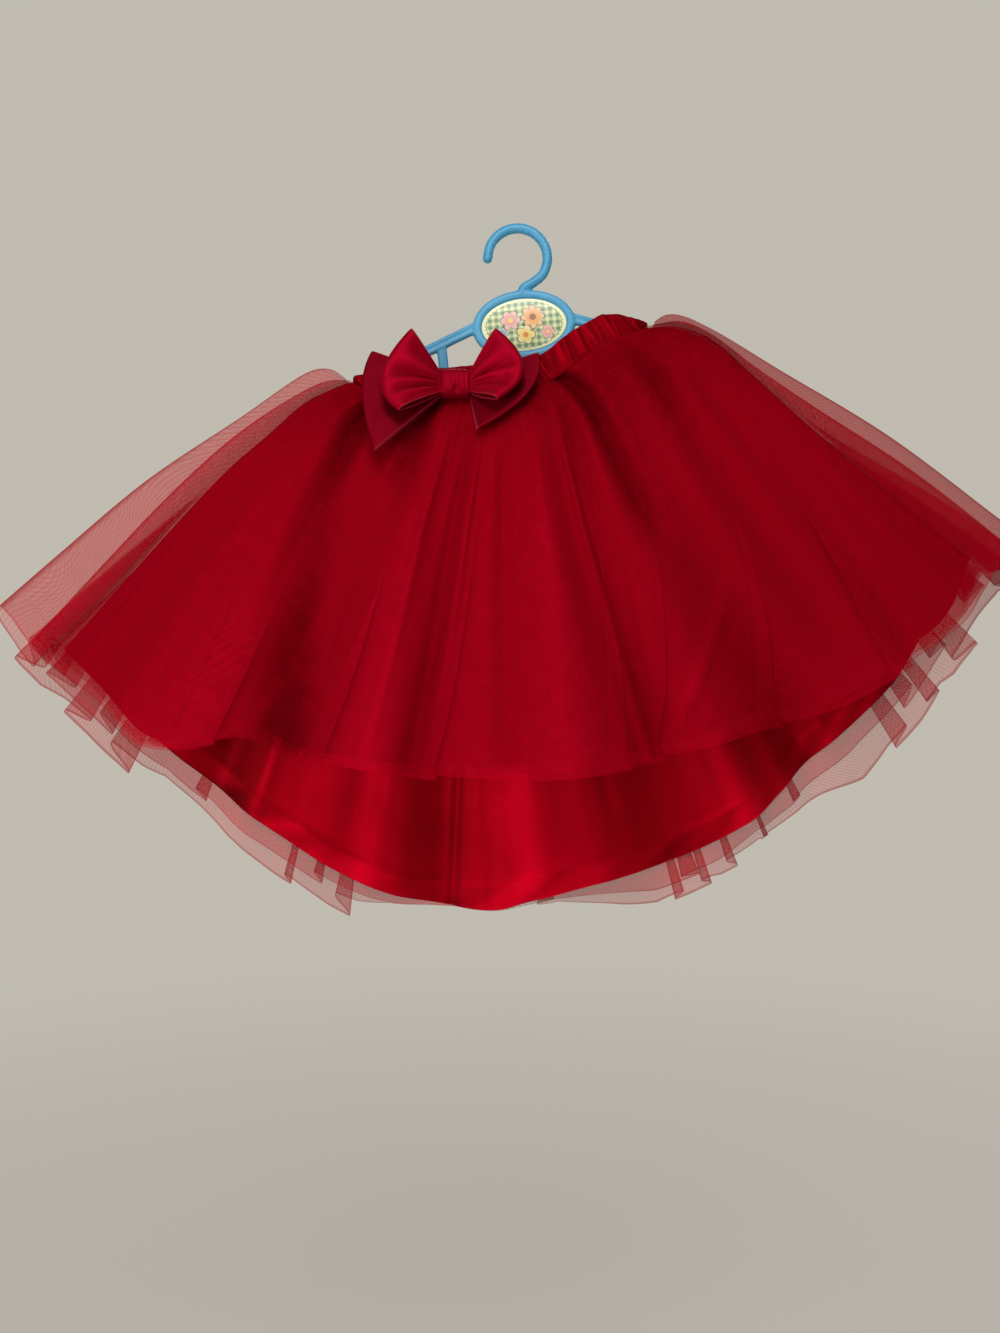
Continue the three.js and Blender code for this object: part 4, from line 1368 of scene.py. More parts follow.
    def satin_depth(self, panel: Panel, column: Array, row: Array) -> Array:
        """How far the satin's inner face stands from Y = 0."""
        v = np.clip(row, 0, 1)
        u = np.clip(column / Plan.COLUMNS, 0, 1)
        opened = self.opened(self.plan.point(panel, np.clip(column, 0, Plan.COLUMNS), v), v)
        side, middle = panel.waist_depth
        waist = side + middle * np.sin(math.pi * u) ** 0.8
        deep, roundness = panel.hem_depth
        hem = deep * np.sin(math.pi * u) ** roundness
        return opened * (mix(waist, hem, v) + panel.folds(u, v))

    def tone(self, panel: Panel, column: Array, row: Array, own: Array) -> Array:
        """Painted shade and light, -1 to 1, for how deep or high in the folds the cloth lies."""
        u, v = np.clip(column / Plan.COLUMNS, 0, 1), np.clip(row, 0, 1)
        folds = panel.folds(u, v) + self.OWN_TONE * (own - own.mean())
        past = self.plan.past(column)
        # Painted light on the net past the side folds and below the back's hem.
        below = (row - 1) * 4 if panel.face is Face.BACK else 0.0
        glow = self.GLOW * ease(np.maximum(past, below))
        # Painted shade on the cloth under the band.
        shade = self.UNDER_BAND * (1 - ease(v / self.UNDER_BAND_SHADE_REACH))
        return np.clip(mix(folds / self.DEEP_FOLD - shade, 0, ease(past)) + glow, -1, 1)

    def opened(self, points: Array, row: Array) -> Array:
        """How far the cloth has opened out from its side folds, from 0 to 1."""
        return ease(self.plan.from_fold(points, row) / self.EDGE_RISE)

    def depth(self, layer: Layer, panel: Panel, column: Array, row: Array) -> Array:
        """How far a layer stands from Y = 0, clear of the layers inside it."""
        depth = self.satin_depth(panel, column, row)
        slope = np.abs(np.gradient(depth, axis=0)) / self.COLUMN_STEP
        steep = np.clip(np.hypot(1, slope), 1, self.STEEPEST)
        own = self.own_folds(layer, panel.face, column, row)
        if layer.level == 0:
            opened = self.opened(self.plan.point(panel, column, row), row)
            return depth + opened * (own + 0.1)
        inside = SATIN.wall * steep + self.LAYER_GAP + self.INNER_ROOM
        if layer.level == 2:
            inside = inside + INNER.wall * steep + self.LAYER_GAP + self.OUTER_ROOM
            inside = inside + self.OUTER_FLARE * ease(row)
        past = self.plan.past(column)
        flattened = ease(1 - np.clip(past, 0, layer.level) / layer.level)
        return np.sqrt(flattened) * (depth + inside + own)

    def drop(self, layer: Layer, panel: Panel, column: Array) -> Array:
        """How far an overskirt hangs below the satin's hem."""
        table = np.array(panel.drops, float)
        u = np.clip(column / Plan.COLUMNS, 0, 1)
        drop = np.interp(u, table[:, 0], table[:, 1])
        longer = 0.25 + 0.2 * smooth_noise(column * 0.5, np.zeros_like(column), layer.seed)
        if layer.level == 2:
            drop = drop + np.interp(u, table[:, 0], table[:, 2])
        side = self.SIDE_DROPS[layer.level]
        return mix(drop * (1 + longer), side, ease(self.plan.past(column) / layer.level))

    def hanging(self, panel: Panel, column: Array, row: Array, below: Array) -> Array:
        """X and Z of a net's points, which hang straight on down, below the satin's hem."""
        above, hem = (
            self.plan.point(panel, column, np.full_like(row, at)) for at in (self.ABOVE_HEM, 1.0)
        )
        down = hem - above
        down /= np.linalg.norm(down, axis=-1, keepdims=True)
        return self.plan.point(panel, column, row) + down * below[..., None]

    def tulle_grid(self, layer: Layer, panel: Panel) -> Grid:
        """The sheet of one overskirt on one side, with its tucks folded over.

        Args:
            layer: the overskirt.
            panel: the side of the skirt.

        Returns:
            Its points and marks.
        """
        level = layer.level
        shares = np.concatenate([np.linspace(0, 1, self.NET_ROWS) ** 1.25, self.HEM_ROWS])
        pitch = panel.hem_curve.length / Plan.COLUMNS
        tucks = layer.tucks[panel.face]
        at_hem = tucks.denser(self.columns(level), pitch, level)
        at_waist = tucks.at_waist(at_hem, level)
        row = np.repeat(shares[None, :], len(at_hem), axis=0)
        column = mix(at_waist[:, None], at_hem[:, None], np.clip(row, 0, 1))
        folded, apart, edge = tucks.fold(column, row, pitch)
        folded = np.clip(folded, -level, Plan.COLUMNS + level)
        drop = np.maximum(self.drop(layer, panel, column) + tucks.steps(column), 1.0)
        below = np.maximum(row - 1, 0) * drop
        points = self.hanging(panel, folded, row, below)
        depth = self.depth(layer, panel, folded, row) + below * self.FLARE[level] + apart
        past = self.plan.past(column)
        at_fold = np.clip((level - past) * 3, 0, 1)
        y = panel.face.value * at_fold**0.5 * np.maximum(depth, 0.05)
        y = np.where(past >= level, 0.0, y)
        whole = np.stack([points[..., 0], y, points[..., 1]], axis=-1)
        to_hem = np.where(row >= self.HEM_LINE, self.HEM_EDGE, 0.0)
        to_side = np.clip(1 - np.abs(level - past) * 8, 0, 1)
        # The bunched net at the right side is denser, and painted darker with shade through the
        # edge mark.
        doubled = self.DOUBLED * ease(column - (Plan.COLUMNS - 2))
        edge = np.maximum(self.TUCK_EDGE * edge, np.maximum(to_hem, to_side)) + doubled
        # The painted shading, darkened with painted shade along the folds' edges and the hem.
        tone = self.tone(panel, folded, row, self.own_folds(layer, panel.face, folded, row))
        tone = np.clip(tone - self.EDGE_SHADE * edge, -1, 1)
        return Grid(whole, self.flat_map(whole), {"edge": np.clip(edge, 0, 1), "tone": tone})

    @staticmethod
    def flat_map(points: Array) -> Array:
        """A flat place for each point: along the middle row, and down its own column."""
        steps = np.linalg.norm(np.diff(points, axis=1), axis=-1)
        down = np.concatenate([np.zeros((len(points), 1)), np.cumsum(steps, axis=1)], axis=1)
        across = np.linalg.norm(np.diff(points, axis=0), axis=-1)
        along = np.concatenate([np.zeros((1, points.shape[1])), np.cumsum(across, axis=0)])
        middle = along[len(points) // 2 : len(points) // 2 + 1]
        return np.stack([along - middle, down], axis=-1)

    def satin_grids(self, panel: Panel) -> tuple[Grid, Grid]:
        """The satin on one side, with its turned-up hem inside.

        Args:
            panel: the side of the skirt.

        Returns:
            Its inside and its outside.
        """
        columns = self.columns(0)
        u = columns / Plan.COLUMNS
        run = self.plan.satin(panel, u, np.ones_like(u)) - self.plan.satin(panel, u, 0 * u)
        length = np.linalg.norm(run, axis=-1)[:, None]
        ledge = 1 - self.HEM_BAND / length
        upper, lower = (np.linspace(0, 1, count) for count in self.CLOTH_ROWS)
        row = np.concatenate(
            [ledge * upper**1.15, ledge + (1 - ledge) * lower[1:] ** 0.9], axis=1
        )
        column = np.repeat(columns[:, None], row.shape[1], axis=1)
        plan_points = self.plan.satin(panel, column / Plan.COLUMNS, row)
        below_ledge = (row - ledge) * length
        past_ledge = ease(below_ledge / 0.8)
        pucker = smooth_noise(column * 1.7 + row * 30, row * 12, 71) * past_ledge
        depth = self.depth(SATIN, panel, column, row) + self.HEM_PUCKER * pucker
        turned_up = past_ledge * self.HEM_LEDGE * self.opened(plan_points, row)
        grids = []
        for offset in (-turned_up, self.CLOTH - self.SEAM_DENT * bump(below_ledge / 1.6)):
            y = panel.face.value * np.maximum(depth + offset, 0.0)
            points = np.stack([plan_points[..., 0], y, plan_points[..., 1]], axis=-1)
            grids.append(Grid(points, self.flat_map(points)))
        # A painted highlight along the hem's edge.
        edge = 0.5 * np.clip(1 - (1 - row) * length / 0.8, 0, 1)
        # Inside: the painted shading turned over, with painted light and painted blotches on the
        # hem.
        tone = self.tone(panel, column, row, self.own_folds(SATIN, panel.face, column, row))
        blotches = smooth_noise(column * 1.1 + row * 30, row * 6 + 20, 79) * past_ledge
        within = np.clip(self.INSIDE_LIGHT - tone + self.BLOTCHES * blotches, -1, 1)
        for grid, shade in zip(grids, (within, tone)):
            grid.marks = {"edge": edge, "tone": shade}
        return grids[0], grids[1]

    def stitch_line(self, panel: Panel, inner: Grid) -> Array:
        """The line of the hem's stitches on the satin's inside.

        Args:
            panel: the side of the skirt.
            inner: the satin's inside.

        Returns:
            Its points, in metres.
        """
        up = self.HEM_BAND - self.STITCH_DROP
        along = inner.flat[..., 1]
        to_hem = along[:, -1:] - along
        line = []
        for run, points in zip(to_hem, inner.points):
            order = np.argsort(run)
            line.append([np.interp(up, run[order], points[order, k]) for k in range(3)])
        line = np.array(line)
        line[:, 1] -= panel.face.value * self.STITCH_LIFT
        return line[self.UNSTITCHED : -self.UNSTITCHED] * MM

    def build(self) -> list[Piece]:
        """Builds and declares all the layers.

        Returns:
            The skirt's pieces.
        """
        made = []
        for panel in (FRONT, BACK):
            flip = panel.face is Face.BACK
            inner, outer = self.satin_grids(panel)
            name = f"skirt_satin_{panel.label}"
            satin = shell_object(name, inner, outer, self.finishes[Slot.SATIN], flip)
            declare(satin, Slot.SATIN, f"satin_{panel.label}")
            line = self.stitch_line(panel, inner)
            stitches = Stitching().sew(f"hem_stitches_{panel.label}", line, self.finishes["thread"])
            declare(stitches, Slot.SATIN)
            made += [satin, stitches]
            for layer in (INNER, OUTER):
                grid = self.tulle_grid(layer, panel)
                name = f"overskirt_{layer.name}_{panel.label}"
                net = sheet_object(name, grid, self.finishes[layer.name], flip)
                declare(net, Slot.TULLE, f"{layer.name}_{panel.label}")
                made.append(net)
        return made


# ---- Stitching ----


@dataclass
class Stitching:
    """A row of machine stitches along a line, made by Geometry Nodes.

    Attributes:
        length: one stitch, in metres.
        gap: from one stitch to the next.
        thick: the thread's thickness.
    """

    length: float = 0.0021
    gap: float = 0.0007
    thick: float = 0.00034

    def tree(self, material: Material) -> bpy.types.NodeTree:
        """The node tree that lays stitches along a curve."""
        tree = bpy.data.node_groups.new("stitches", "GeometryNodeTree")
        face = tree.interface
        face.new_socket("Geometry", in_out="INPUT", socket_type="NodeSocketGeometry")
        for name in ("Length", "Gap", "Thickness"):
            face.new_socket(name, in_out="INPUT", socket_type="NodeSocketFloat")
        face.new_socket("Geometry", in_out="OUTPUT", socket_type="NodeSocketGeometry")
        graph = Graph(tree)
        given = graph.node("NodeGroupInput")
        line, length, gap, thick = (Socket(graph, given.outputs[k]) for k in range(4))
        run = {"Curve": line, "Length": length + gap}
        spots = graph.out("GeometryNodeResampleCurve", {"mode": "LENGTH"}, run)
        evaluated = {"mode": "EVALUATED"}
        points = graph.node("GeometryNodeCurveToPoints", evaluated, {"Curve": spots})
        ball = {"Segments": 6, "Rings": 4, "Radius": 0.5}
        laid = graph.out(
            "GeometryNodeInstanceOnPoints",
            {},
            {
                "Points": points.outputs[0],
                "Instance": graph.out("GeometryNodeMeshUVSphere", {}, ball),
                "Rotation": points.outputs["Rotation"],
                "Scale": graph.out("ShaderNodeCombineXYZ", {}, {0: thick, 1: thick, 2: length}),
            },
        )
        real = graph.out("GeometryNodeRealizeInstances", {}, {0: laid})
        done = graph.out("GeometryNodeSetMaterial", {}, {0: real, "Material": material})
        graph.node("NodeGroupOutput", {}, {0: done})
        return tree

    def sew(self, name: str, line: Array, material: Material) -> Piece:
        """Sews along a line of points.

        Args:
            name: the piece's name.
            line: the points, in metres.
            material: the thread's finish.

        Returns:
            The stitches as one plain mesh.
        """
        curve = bpy.data.curves.new(name + "_line", "CURVE")
        curve.dimensions = "3D"
        spline = curve.splines.new("POLY")
        spline.points.add(len(line) - 1)
        spline.points.foreach_set("co", np.hstack([line, np.ones((len(line), 1))]).ravel())
        guide = bpy.data.objects.new(name + "_line", curve)
        bpy.context.collection.objects.link(guide)
        modifier = guide.modifiers.new("stitches", "NODES")
        modifier.node_group = self.tree(material)
        values = {"Length": self.length, "Gap": self.gap, "Thickness": self.thick}
        for item in modifier.node_group.interface.items_tree:
            if item.in_out == "INPUT" and item.name in values:
                modifier[item.identifier] = values[item.name]
        bpy.context.view_layer.update()
        seen = guide.evaluated_get(bpy.context.evaluated_depsgraph_get())
        mesh = bpy.data.meshes.new_from_object(seen)
        stitches = bpy.data.objects.new(name, mesh)
        bpy.data.objects.remove(guide)
        mesh.materials.clear()
        mesh.materials.append(material)
        mesh.polygons.foreach_set("use_smooth", np.ones(len(mesh.polygons), bool))
        bpy.context.collection.objects.link(stitches)
        return stitches


# ---- Waistband ----


@dataclass
class Waistband:
    """A ring of satin ruched over elastic, its gathers running from edge to edge.

    Attributes:
        waist: the band's run.
        wall: how thick it is between its inside and the foot of its gathers.
        ruche: how far a gather stands out.
        stations: points round the ring.
        levels: points down the outside.
        gathers: how many gathers go round.
        sharpness: below 1, the flattened ring keeps its depth near its ends.
        seed: the seed of the gathers' unevenness.
    """

    waist: Waist
    wall: float = 1.0
    ruche: float = 1.2
    stations: int = 1100
    levels: int = 22
    gathers: int = 104
    sharpness: float = 0.7
    seed: int = 5

    LEAN = (0.017, 0.029)  # how far round a gather goes on its way down, as a share
    SHADE = 0.8  # how much painted shade darkens the foot of a gather

    def ring(self) -> tuple[Array, Array]:
        """The inside line of the ring.

        Returns:
            Its points in X and Y, evenly spaced, and their outward directions.
        """
        turn = np.linspace(0, 2 * math.pi, 4001)
        across = (1 - np.cos(turn)) / 2
        front = turn < math.pi
        depth = np.where(front, sum(FRONT.waist_depth), sum(BACK.waist_depth))
        out = np.where(front, -1, 1)
        y = out * depth * np.abs(np.sin(turn)) ** self.sharpness
        x = mix(self.waist.run[0][0], self.waist.run[-1][0], across)
        steps = np.hypot(np.diff(x), np.diff(y))
        along = np.concatenate([[0], np.cumsum(steps)])
        spots = np.linspace(0, along[-1], self.stations, endpoint=False)
        points = np.stack([np.interp(spots, along, x), np.interp(spots, along, y)], axis=-1)
        tangent = np.roll(points, -3, axis=0) - np.roll(points, 3, axis=0)
        tangent /= np.linalg.norm(tangent, axis=-1, keepdims=True)
        return points, np.stack([tangent[:, 1], -tangent[:, 0]], axis=-1)

    def gathered(self, around: Array, down: Array) -> Array:
        """How far the cloth stands out, from 0 to 1, at shares round and down the band."""
        random = np.random.default_rng(self.seed)
        total = np.zeros_like(around)
        places = np.sort(
            (np.arange(self.gathers) + random.uniform(-0.34, 0.34, self.gathers)) / self.gathers
        )
        for place in places:
            lean = random.uniform(*self.LEAN)
            bend = random.uniform(-0.003, 0.003)
            width = random.uniform(0.4, 1.0) / self.gathers
            height = random.uniform(0.3, 1.0)
            middle = place + lean * (down - 0.5) + bend * np.sin(math.pi * down)
            gap = (around - middle + 0.5) % 1 - 0.5
            total = np.maximum(total, height * bump(gap / width) ** 0.8)
        return total

    def build(self, finish: Material) -> Piece:
        """Builds the band.

        Args:
            finish: its satin.

        Returns:
            The band.
        """
        points, outward = self.ring()
        share = np.linspace(0, 1, self.levels)
        around, down = np.meshgrid(np.arange(self.stations) / self.stations, share, indexing="ij")
        x, y = points[:, :1], points[:, 1:]
        top = np.where(y < 0, self.waist.top(Face.FRONT, x), self.waist.top(Face.BACK, x))
        height = self.waist.height(x)
        raised = self.gathered(around, down)
        pinched = 0.35 + 0.65 * np.sin(math.pi * np.clip(down, 0, 1)) ** 0.6
        soft = 0.35 * smooth_noise(around * 90, down * 3, 9)
        out = self.wall + self.ruche * pinched * (raised + 0.12 * soft)
        lumps = 0.3 * raised + 0.5 * smooth_noise(around * 60, np.zeros_like(around), 13)
        scallop = lumps * (1 - 2 * down) * (np.abs(2 * down - 1) ** 3)
        face_z = top - down * height + scallop
        face = np.stack([x + out * outward[:, :1], y + out * outward[:, 1:], face_z], axis=-1)
        above, below = (np.stack([x, y, z], axis=-1) for z in (top, top - height))
        whole = np.concatenate([above, face, below], axis=1)
        flush = np.zeros_like(x)
        crest = np.concatenate([flush, raised * pinched, flush], axis=1)
        # Painted highlight on the gathers' crests and painted shade at their feet.
        tone = np.clip(0.6 * crest - self.SHADE, -1, 1)
        marks = {"edge": np.clip(crest - 0.92, 0, 1), "tone": tone}
        band = loop_object("waistband_ruched", Grid(whole, Skirt.flat_map(whole), marks), finish)
        declare(band, Slot.SATIN, "waistband")
        return band


# ---- Bow ----


@dataclass
class RibbonLoop:
    """A wide ribbon sewn into a ring and pinched in its middle to make two lobes.

    Attributes:
        name: the piece's name.
        node: the solid that it stands for.
        layer: how far behind the knot's middle it lies.
        front: how far its front stands forward.
        back: how far its back stands back.
        reach: how far the lobes' ends come forward.
        shade: how much painted shade darkens it; below 0, how much painted light brightens it.
        right: top, middle and bottom of the right lobe's end fold, as x and z.
        left: the same for the left lobe.
        folds: place across from -1 to 1, half width and depth of each fold in the front.
    """

    name: str
    node: str
    layer: float
    front: float
    back: float
    reach: float
    shade: float
    right: Sequence[Row]
    left: Sequence[Row]
    folds: dict[int, Sequence[Row]]

    PINCH = 7.0  # half the ribbon's width where the knot pinches it
    PINCH_DEPTH = 0.9  # half its depth there
    WALL = 0.8  # the cloth's thickness
    KNOT_EDGE = 9.25  # how far from the middle the lobes start
    DEEP_FOLD = 4.5  # fold, in mm, given the darkest painted shade or the brightest painted highlight
    ARC = 56  # columns round one lobe
    ACROSS = 60  # rows across the ribbon

    def __post_init__(self) -> None:
        """Makes room for the lobes' painted shading."""
        self.painted_shadings: dict[int, Array] = {}

    def end_fold(self, side: int, t: Array) -> tuple[Array, Array]:
        """The lobe's end fold at t, from -1 at its bottom to 1 at its top."""
        top, middle, bottom = self.right if side > 0 else self.left
        low, centre, high = t * (t - 1) / 2, 1 - t * t, t * (t + 1) / 2
        x, z = (low * bottom[k] + centre * middle[k] + high * top[k] for k in (0, 1))
        return x, z

    def half(self, side: int) -> Array:
        """One lobe, from the front of the knot round its end fold to the back.

        Args:
            side: 1 for the right lobe, -1 for the left.

        Returns:
            The points of the cloth's middle, in the bow's own frame.
        """
        angle, t = np.meshgrid(
            np.linspace(0, math.pi, self.ARC), np.linspace(-1, 1, self.ACROSS), indexing="ij"
        )
        out, facing = np.sin(angle), np.cos(angle)
        puff = np.where(facing > 0, self.front, self.back)
        swell = self.PINCH_DEPTH + (puff - self.PINCH_DEPTH) * out**0.7
        end_x, end_z = self.end_fold(side, t)
        faded = (27 / 4) * out * (1 - out) ** 2
        ridges = np.zeros_like(t)
        for place, width, depth in self.folds[side]:
            spread = width * (0.55 + 0.9 * out)
            ridges += depth * bump((t - place * (0.7 + 0.3 * out)) / spread)
        near = np.clip(1 - out, 0, 1) ** 1.5
        pleats = 0.3 * near * np.cos(5.5 * math.pi * t + side) * ease(out * 6)
        soft = 0.35 * smooth_noise(out * 3 + 5 * side + 20, t * 2.5 + 20, 41)
        pleat = np.where(facing > 0, ridges * faded + pleats + soft * faded, soft * faded)
        # The pleats in the front set its painted shade and painted highlight.
        self.painted_shadings[side] = np.clip(pleat / self.DEEP_FOLD, -1, 1)
        x = mix(side * self.KNOT_EDGE, end_x, out)
        y = self.layer - swell * facing - self.reach * out**1.5 - pleat
        z = mix(self.PINCH * t, end_z, out)
        return np.stack([x, y, z], axis=-1)

    def build(self, place: Matrix, finish: Material) -> Piece:
        """Builds the loop.

        Args:
            place: where the bow's own frame is.
            finish: its satin.

        Returns:
            The loop.
        """
        middle = np.concatenate([self.half(1), self.half(-1)[::-1]])
        normal = normals_of(middle, round_columns=True)
        rows = middle.shape[1]
        edge_row = np.abs(np.linspace(-1, 1, rows))
        thick = np.where(edge_row > 0.99, 0.5, 1.0)[None, :, None] * self.WALL / 2
        outer, inner = middle + normal * thick, middle - normal * thick
        ring = np.concatenate([outer, inner[:, ::-1]], axis=1)
        ring = transformed(ring, place)
        # A painted highlight along the ribbon's edges; inside, the painted shading turned over.
        one = np.clip(1 - (1 - edge_row) * 28, 0, 1)
        edge = np.repeat(np.concatenate([one, one[::-1]])[None, :], len(ring), axis=0)
        tone = np.concatenate([self.painted_shadings[1], self.painted_shadings[-1][::-1]])
        tone = np.clip(np.concatenate([tone, -tone[:, ::-1]], axis=1) - self.shade, -1, 1)
        grid = Grid(ring, Skirt.flat_map(ring), {"edge": edge, "tone": tone})
        loop = loop_object(self.name, grid, finish)
        declare(loop, Slot.BOW, self.node)
        return loop


@dataclass
class Bow:
    """Two loops of satin ribbon, one on the other, held by a knot.

    Attributes:
        place: the middle of the knot in millimetres.
        lean: how far it leans back, in degrees.
        knot: the knot's width, height and depth.
        knot_wall: its thickness.
        knot_tone: how dark it is with painted shade.
        lower: the larger loop, behind.
        upper: the smaller loop, in front.
    """

    place: Row = (-39.6, -22.0, -103.7)
    lean: float = -13.0
    knot: Row = (17.5, 18.0, 11.0)
    knot_wall: float = 1.3
    knot_tone: float = -0.25
    lower: RibbonLoop = field(
        default_factory=lambda: RibbonLoop(
            name="bow_loop_lower", node="bow_lower", layer=2.2, front=2.5, back=2.0, reach=8.0,
            shade=0.7,
            right=((52, 18.5), (46, -8), (13.5, -33.5)),
            left=((-52, 19.5), (-57.5, -9), (-48.5, -47.5)),
            folds={
                1: ((0.5, 0.3, 1.2), (-0.35, 0.25, 1.6), (0.05, 0.2, -0.8)),
                -1: ((0.55, 0.3, 1.2), (-0.1, 0.25, 1.3), (-0.55, 0.2, -0.9)),
            },
        )
    )
    upper: RibbonLoop = field(
        default_factory=lambda: RibbonLoop(
            name="bow_loop_upper", node="bow_upper", layer=-2.2, front=9.0, back=1.5, reach=12.0,
            shade=-0.12,
            right=((25.5, 30), (42.5, 4), (26.5, -17.5)),
            left=((-27, 30), (-44.8, -2.5), (-33.5, -25)),
            folds={
                1: ((0.62, 0.3, 2.6), (0.2, 0.18, -1.6), (-0.1, 0.22, 2.4), (-0.55, 0.16, -1.8),
                    (-0.8, 0.2, 1.6)),
                -1: ((0.6, 0.32, 2.6), (0.12, 0.16, -2.2), (-0.18, 0.2, 2.4), (-0.5, 0.1, -1.6),
                     (-0.72, 0.22, 2.0)),
            },
        )
    )

    def frame(self) -> Matrix:
        """Where the bow's own frame is, in millimetres."""
        return Matrix.Translation(Vector(self.place)) @ Matrix.Rotation(
            math.radians(self.lean), 4, "X"
        )

    def knot_points(self) -> tuple[Array, Array]:
        """The knot's ring: round the loops, and across its width.

        Returns:
            Its outside and its inside, in the bow's own frame.
        """
        width, height, depth = self.knot
        around = np.linspace(0, 2 * math.pi, 120, endpoint=False)
        across = np.linspace(-1, 1, 40)
        turn, side = np.meshgrid(around, across, indexing="ij")
        power = 0.55
        cos, sin = np.cos(turn), np.sin(turn)
        y_share = -np.sign(cos) * np.abs(cos) ** power
        z_share = np.sign(sin) * np.abs(sin) ** power
        rounded = 1 - 0.07 * side**4
        front = np.clip(cos, 0, 1)
        pinch = bump((side - 0.08) / 0.5) * bump((z_share + 0.86) / 0.75) * front**0.5
        pleats = 0.14 * np.cos(3.2 * math.pi * side + 0.8 * z_share + 1.2) * front**0.7
        half_depth = depth / 2 * rounded + pleats - 1.5 * pinch
        lift = 1.4 * pinch
        x = side * width / 2
        waisted = 1 - 0.05 * front * (1 - z_share**2)
        z = (height / 2) * rounded * z_share + lift
        outer = np.stack([x * waisted, half_depth * y_share, z], axis=-1)
        inner_depth, inner_height = depth / 2 - self.knot_wall, height / 2 - self.knot_wall
        return outer, np.stack([x, inner_depth * y_share, inner_height * z_share], axis=-1)

    def build(self, finish: Material) -> list[Piece]:
        """Builds the bow.

        Args:
            finish: its satin.

        Returns:
            Its pieces.
        """
        place = self.frame()
        loops = [loop.build(place, finish) for loop in (self.lower, self.upper)]
        outer, inner = self.knot_points()
        ring = transformed(np.concatenate([outer, inner[:, ::-1]], axis=1), place)
        size = ring.shape[:2]
        # The knot gets one even painted shade.
        marks = {"edge": np.zeros(size), "tone": np.full(size, self.knot_tone)}
        knot = loop_object("bow_centre_knot", Grid(ring, Skirt.flat_map(ring), marks), finish)
        declare(knot, Slot.BOW, "bow_knot")
        return [*loops, knot]


def transformed(points: Array, place: Matrix) -> Array:
    """Points moved from a frame of their own."""
    matrix = np.array(place)
    return points @ matrix[:3, :3].T + matrix[:3, 3]


# ---- Hanger ----


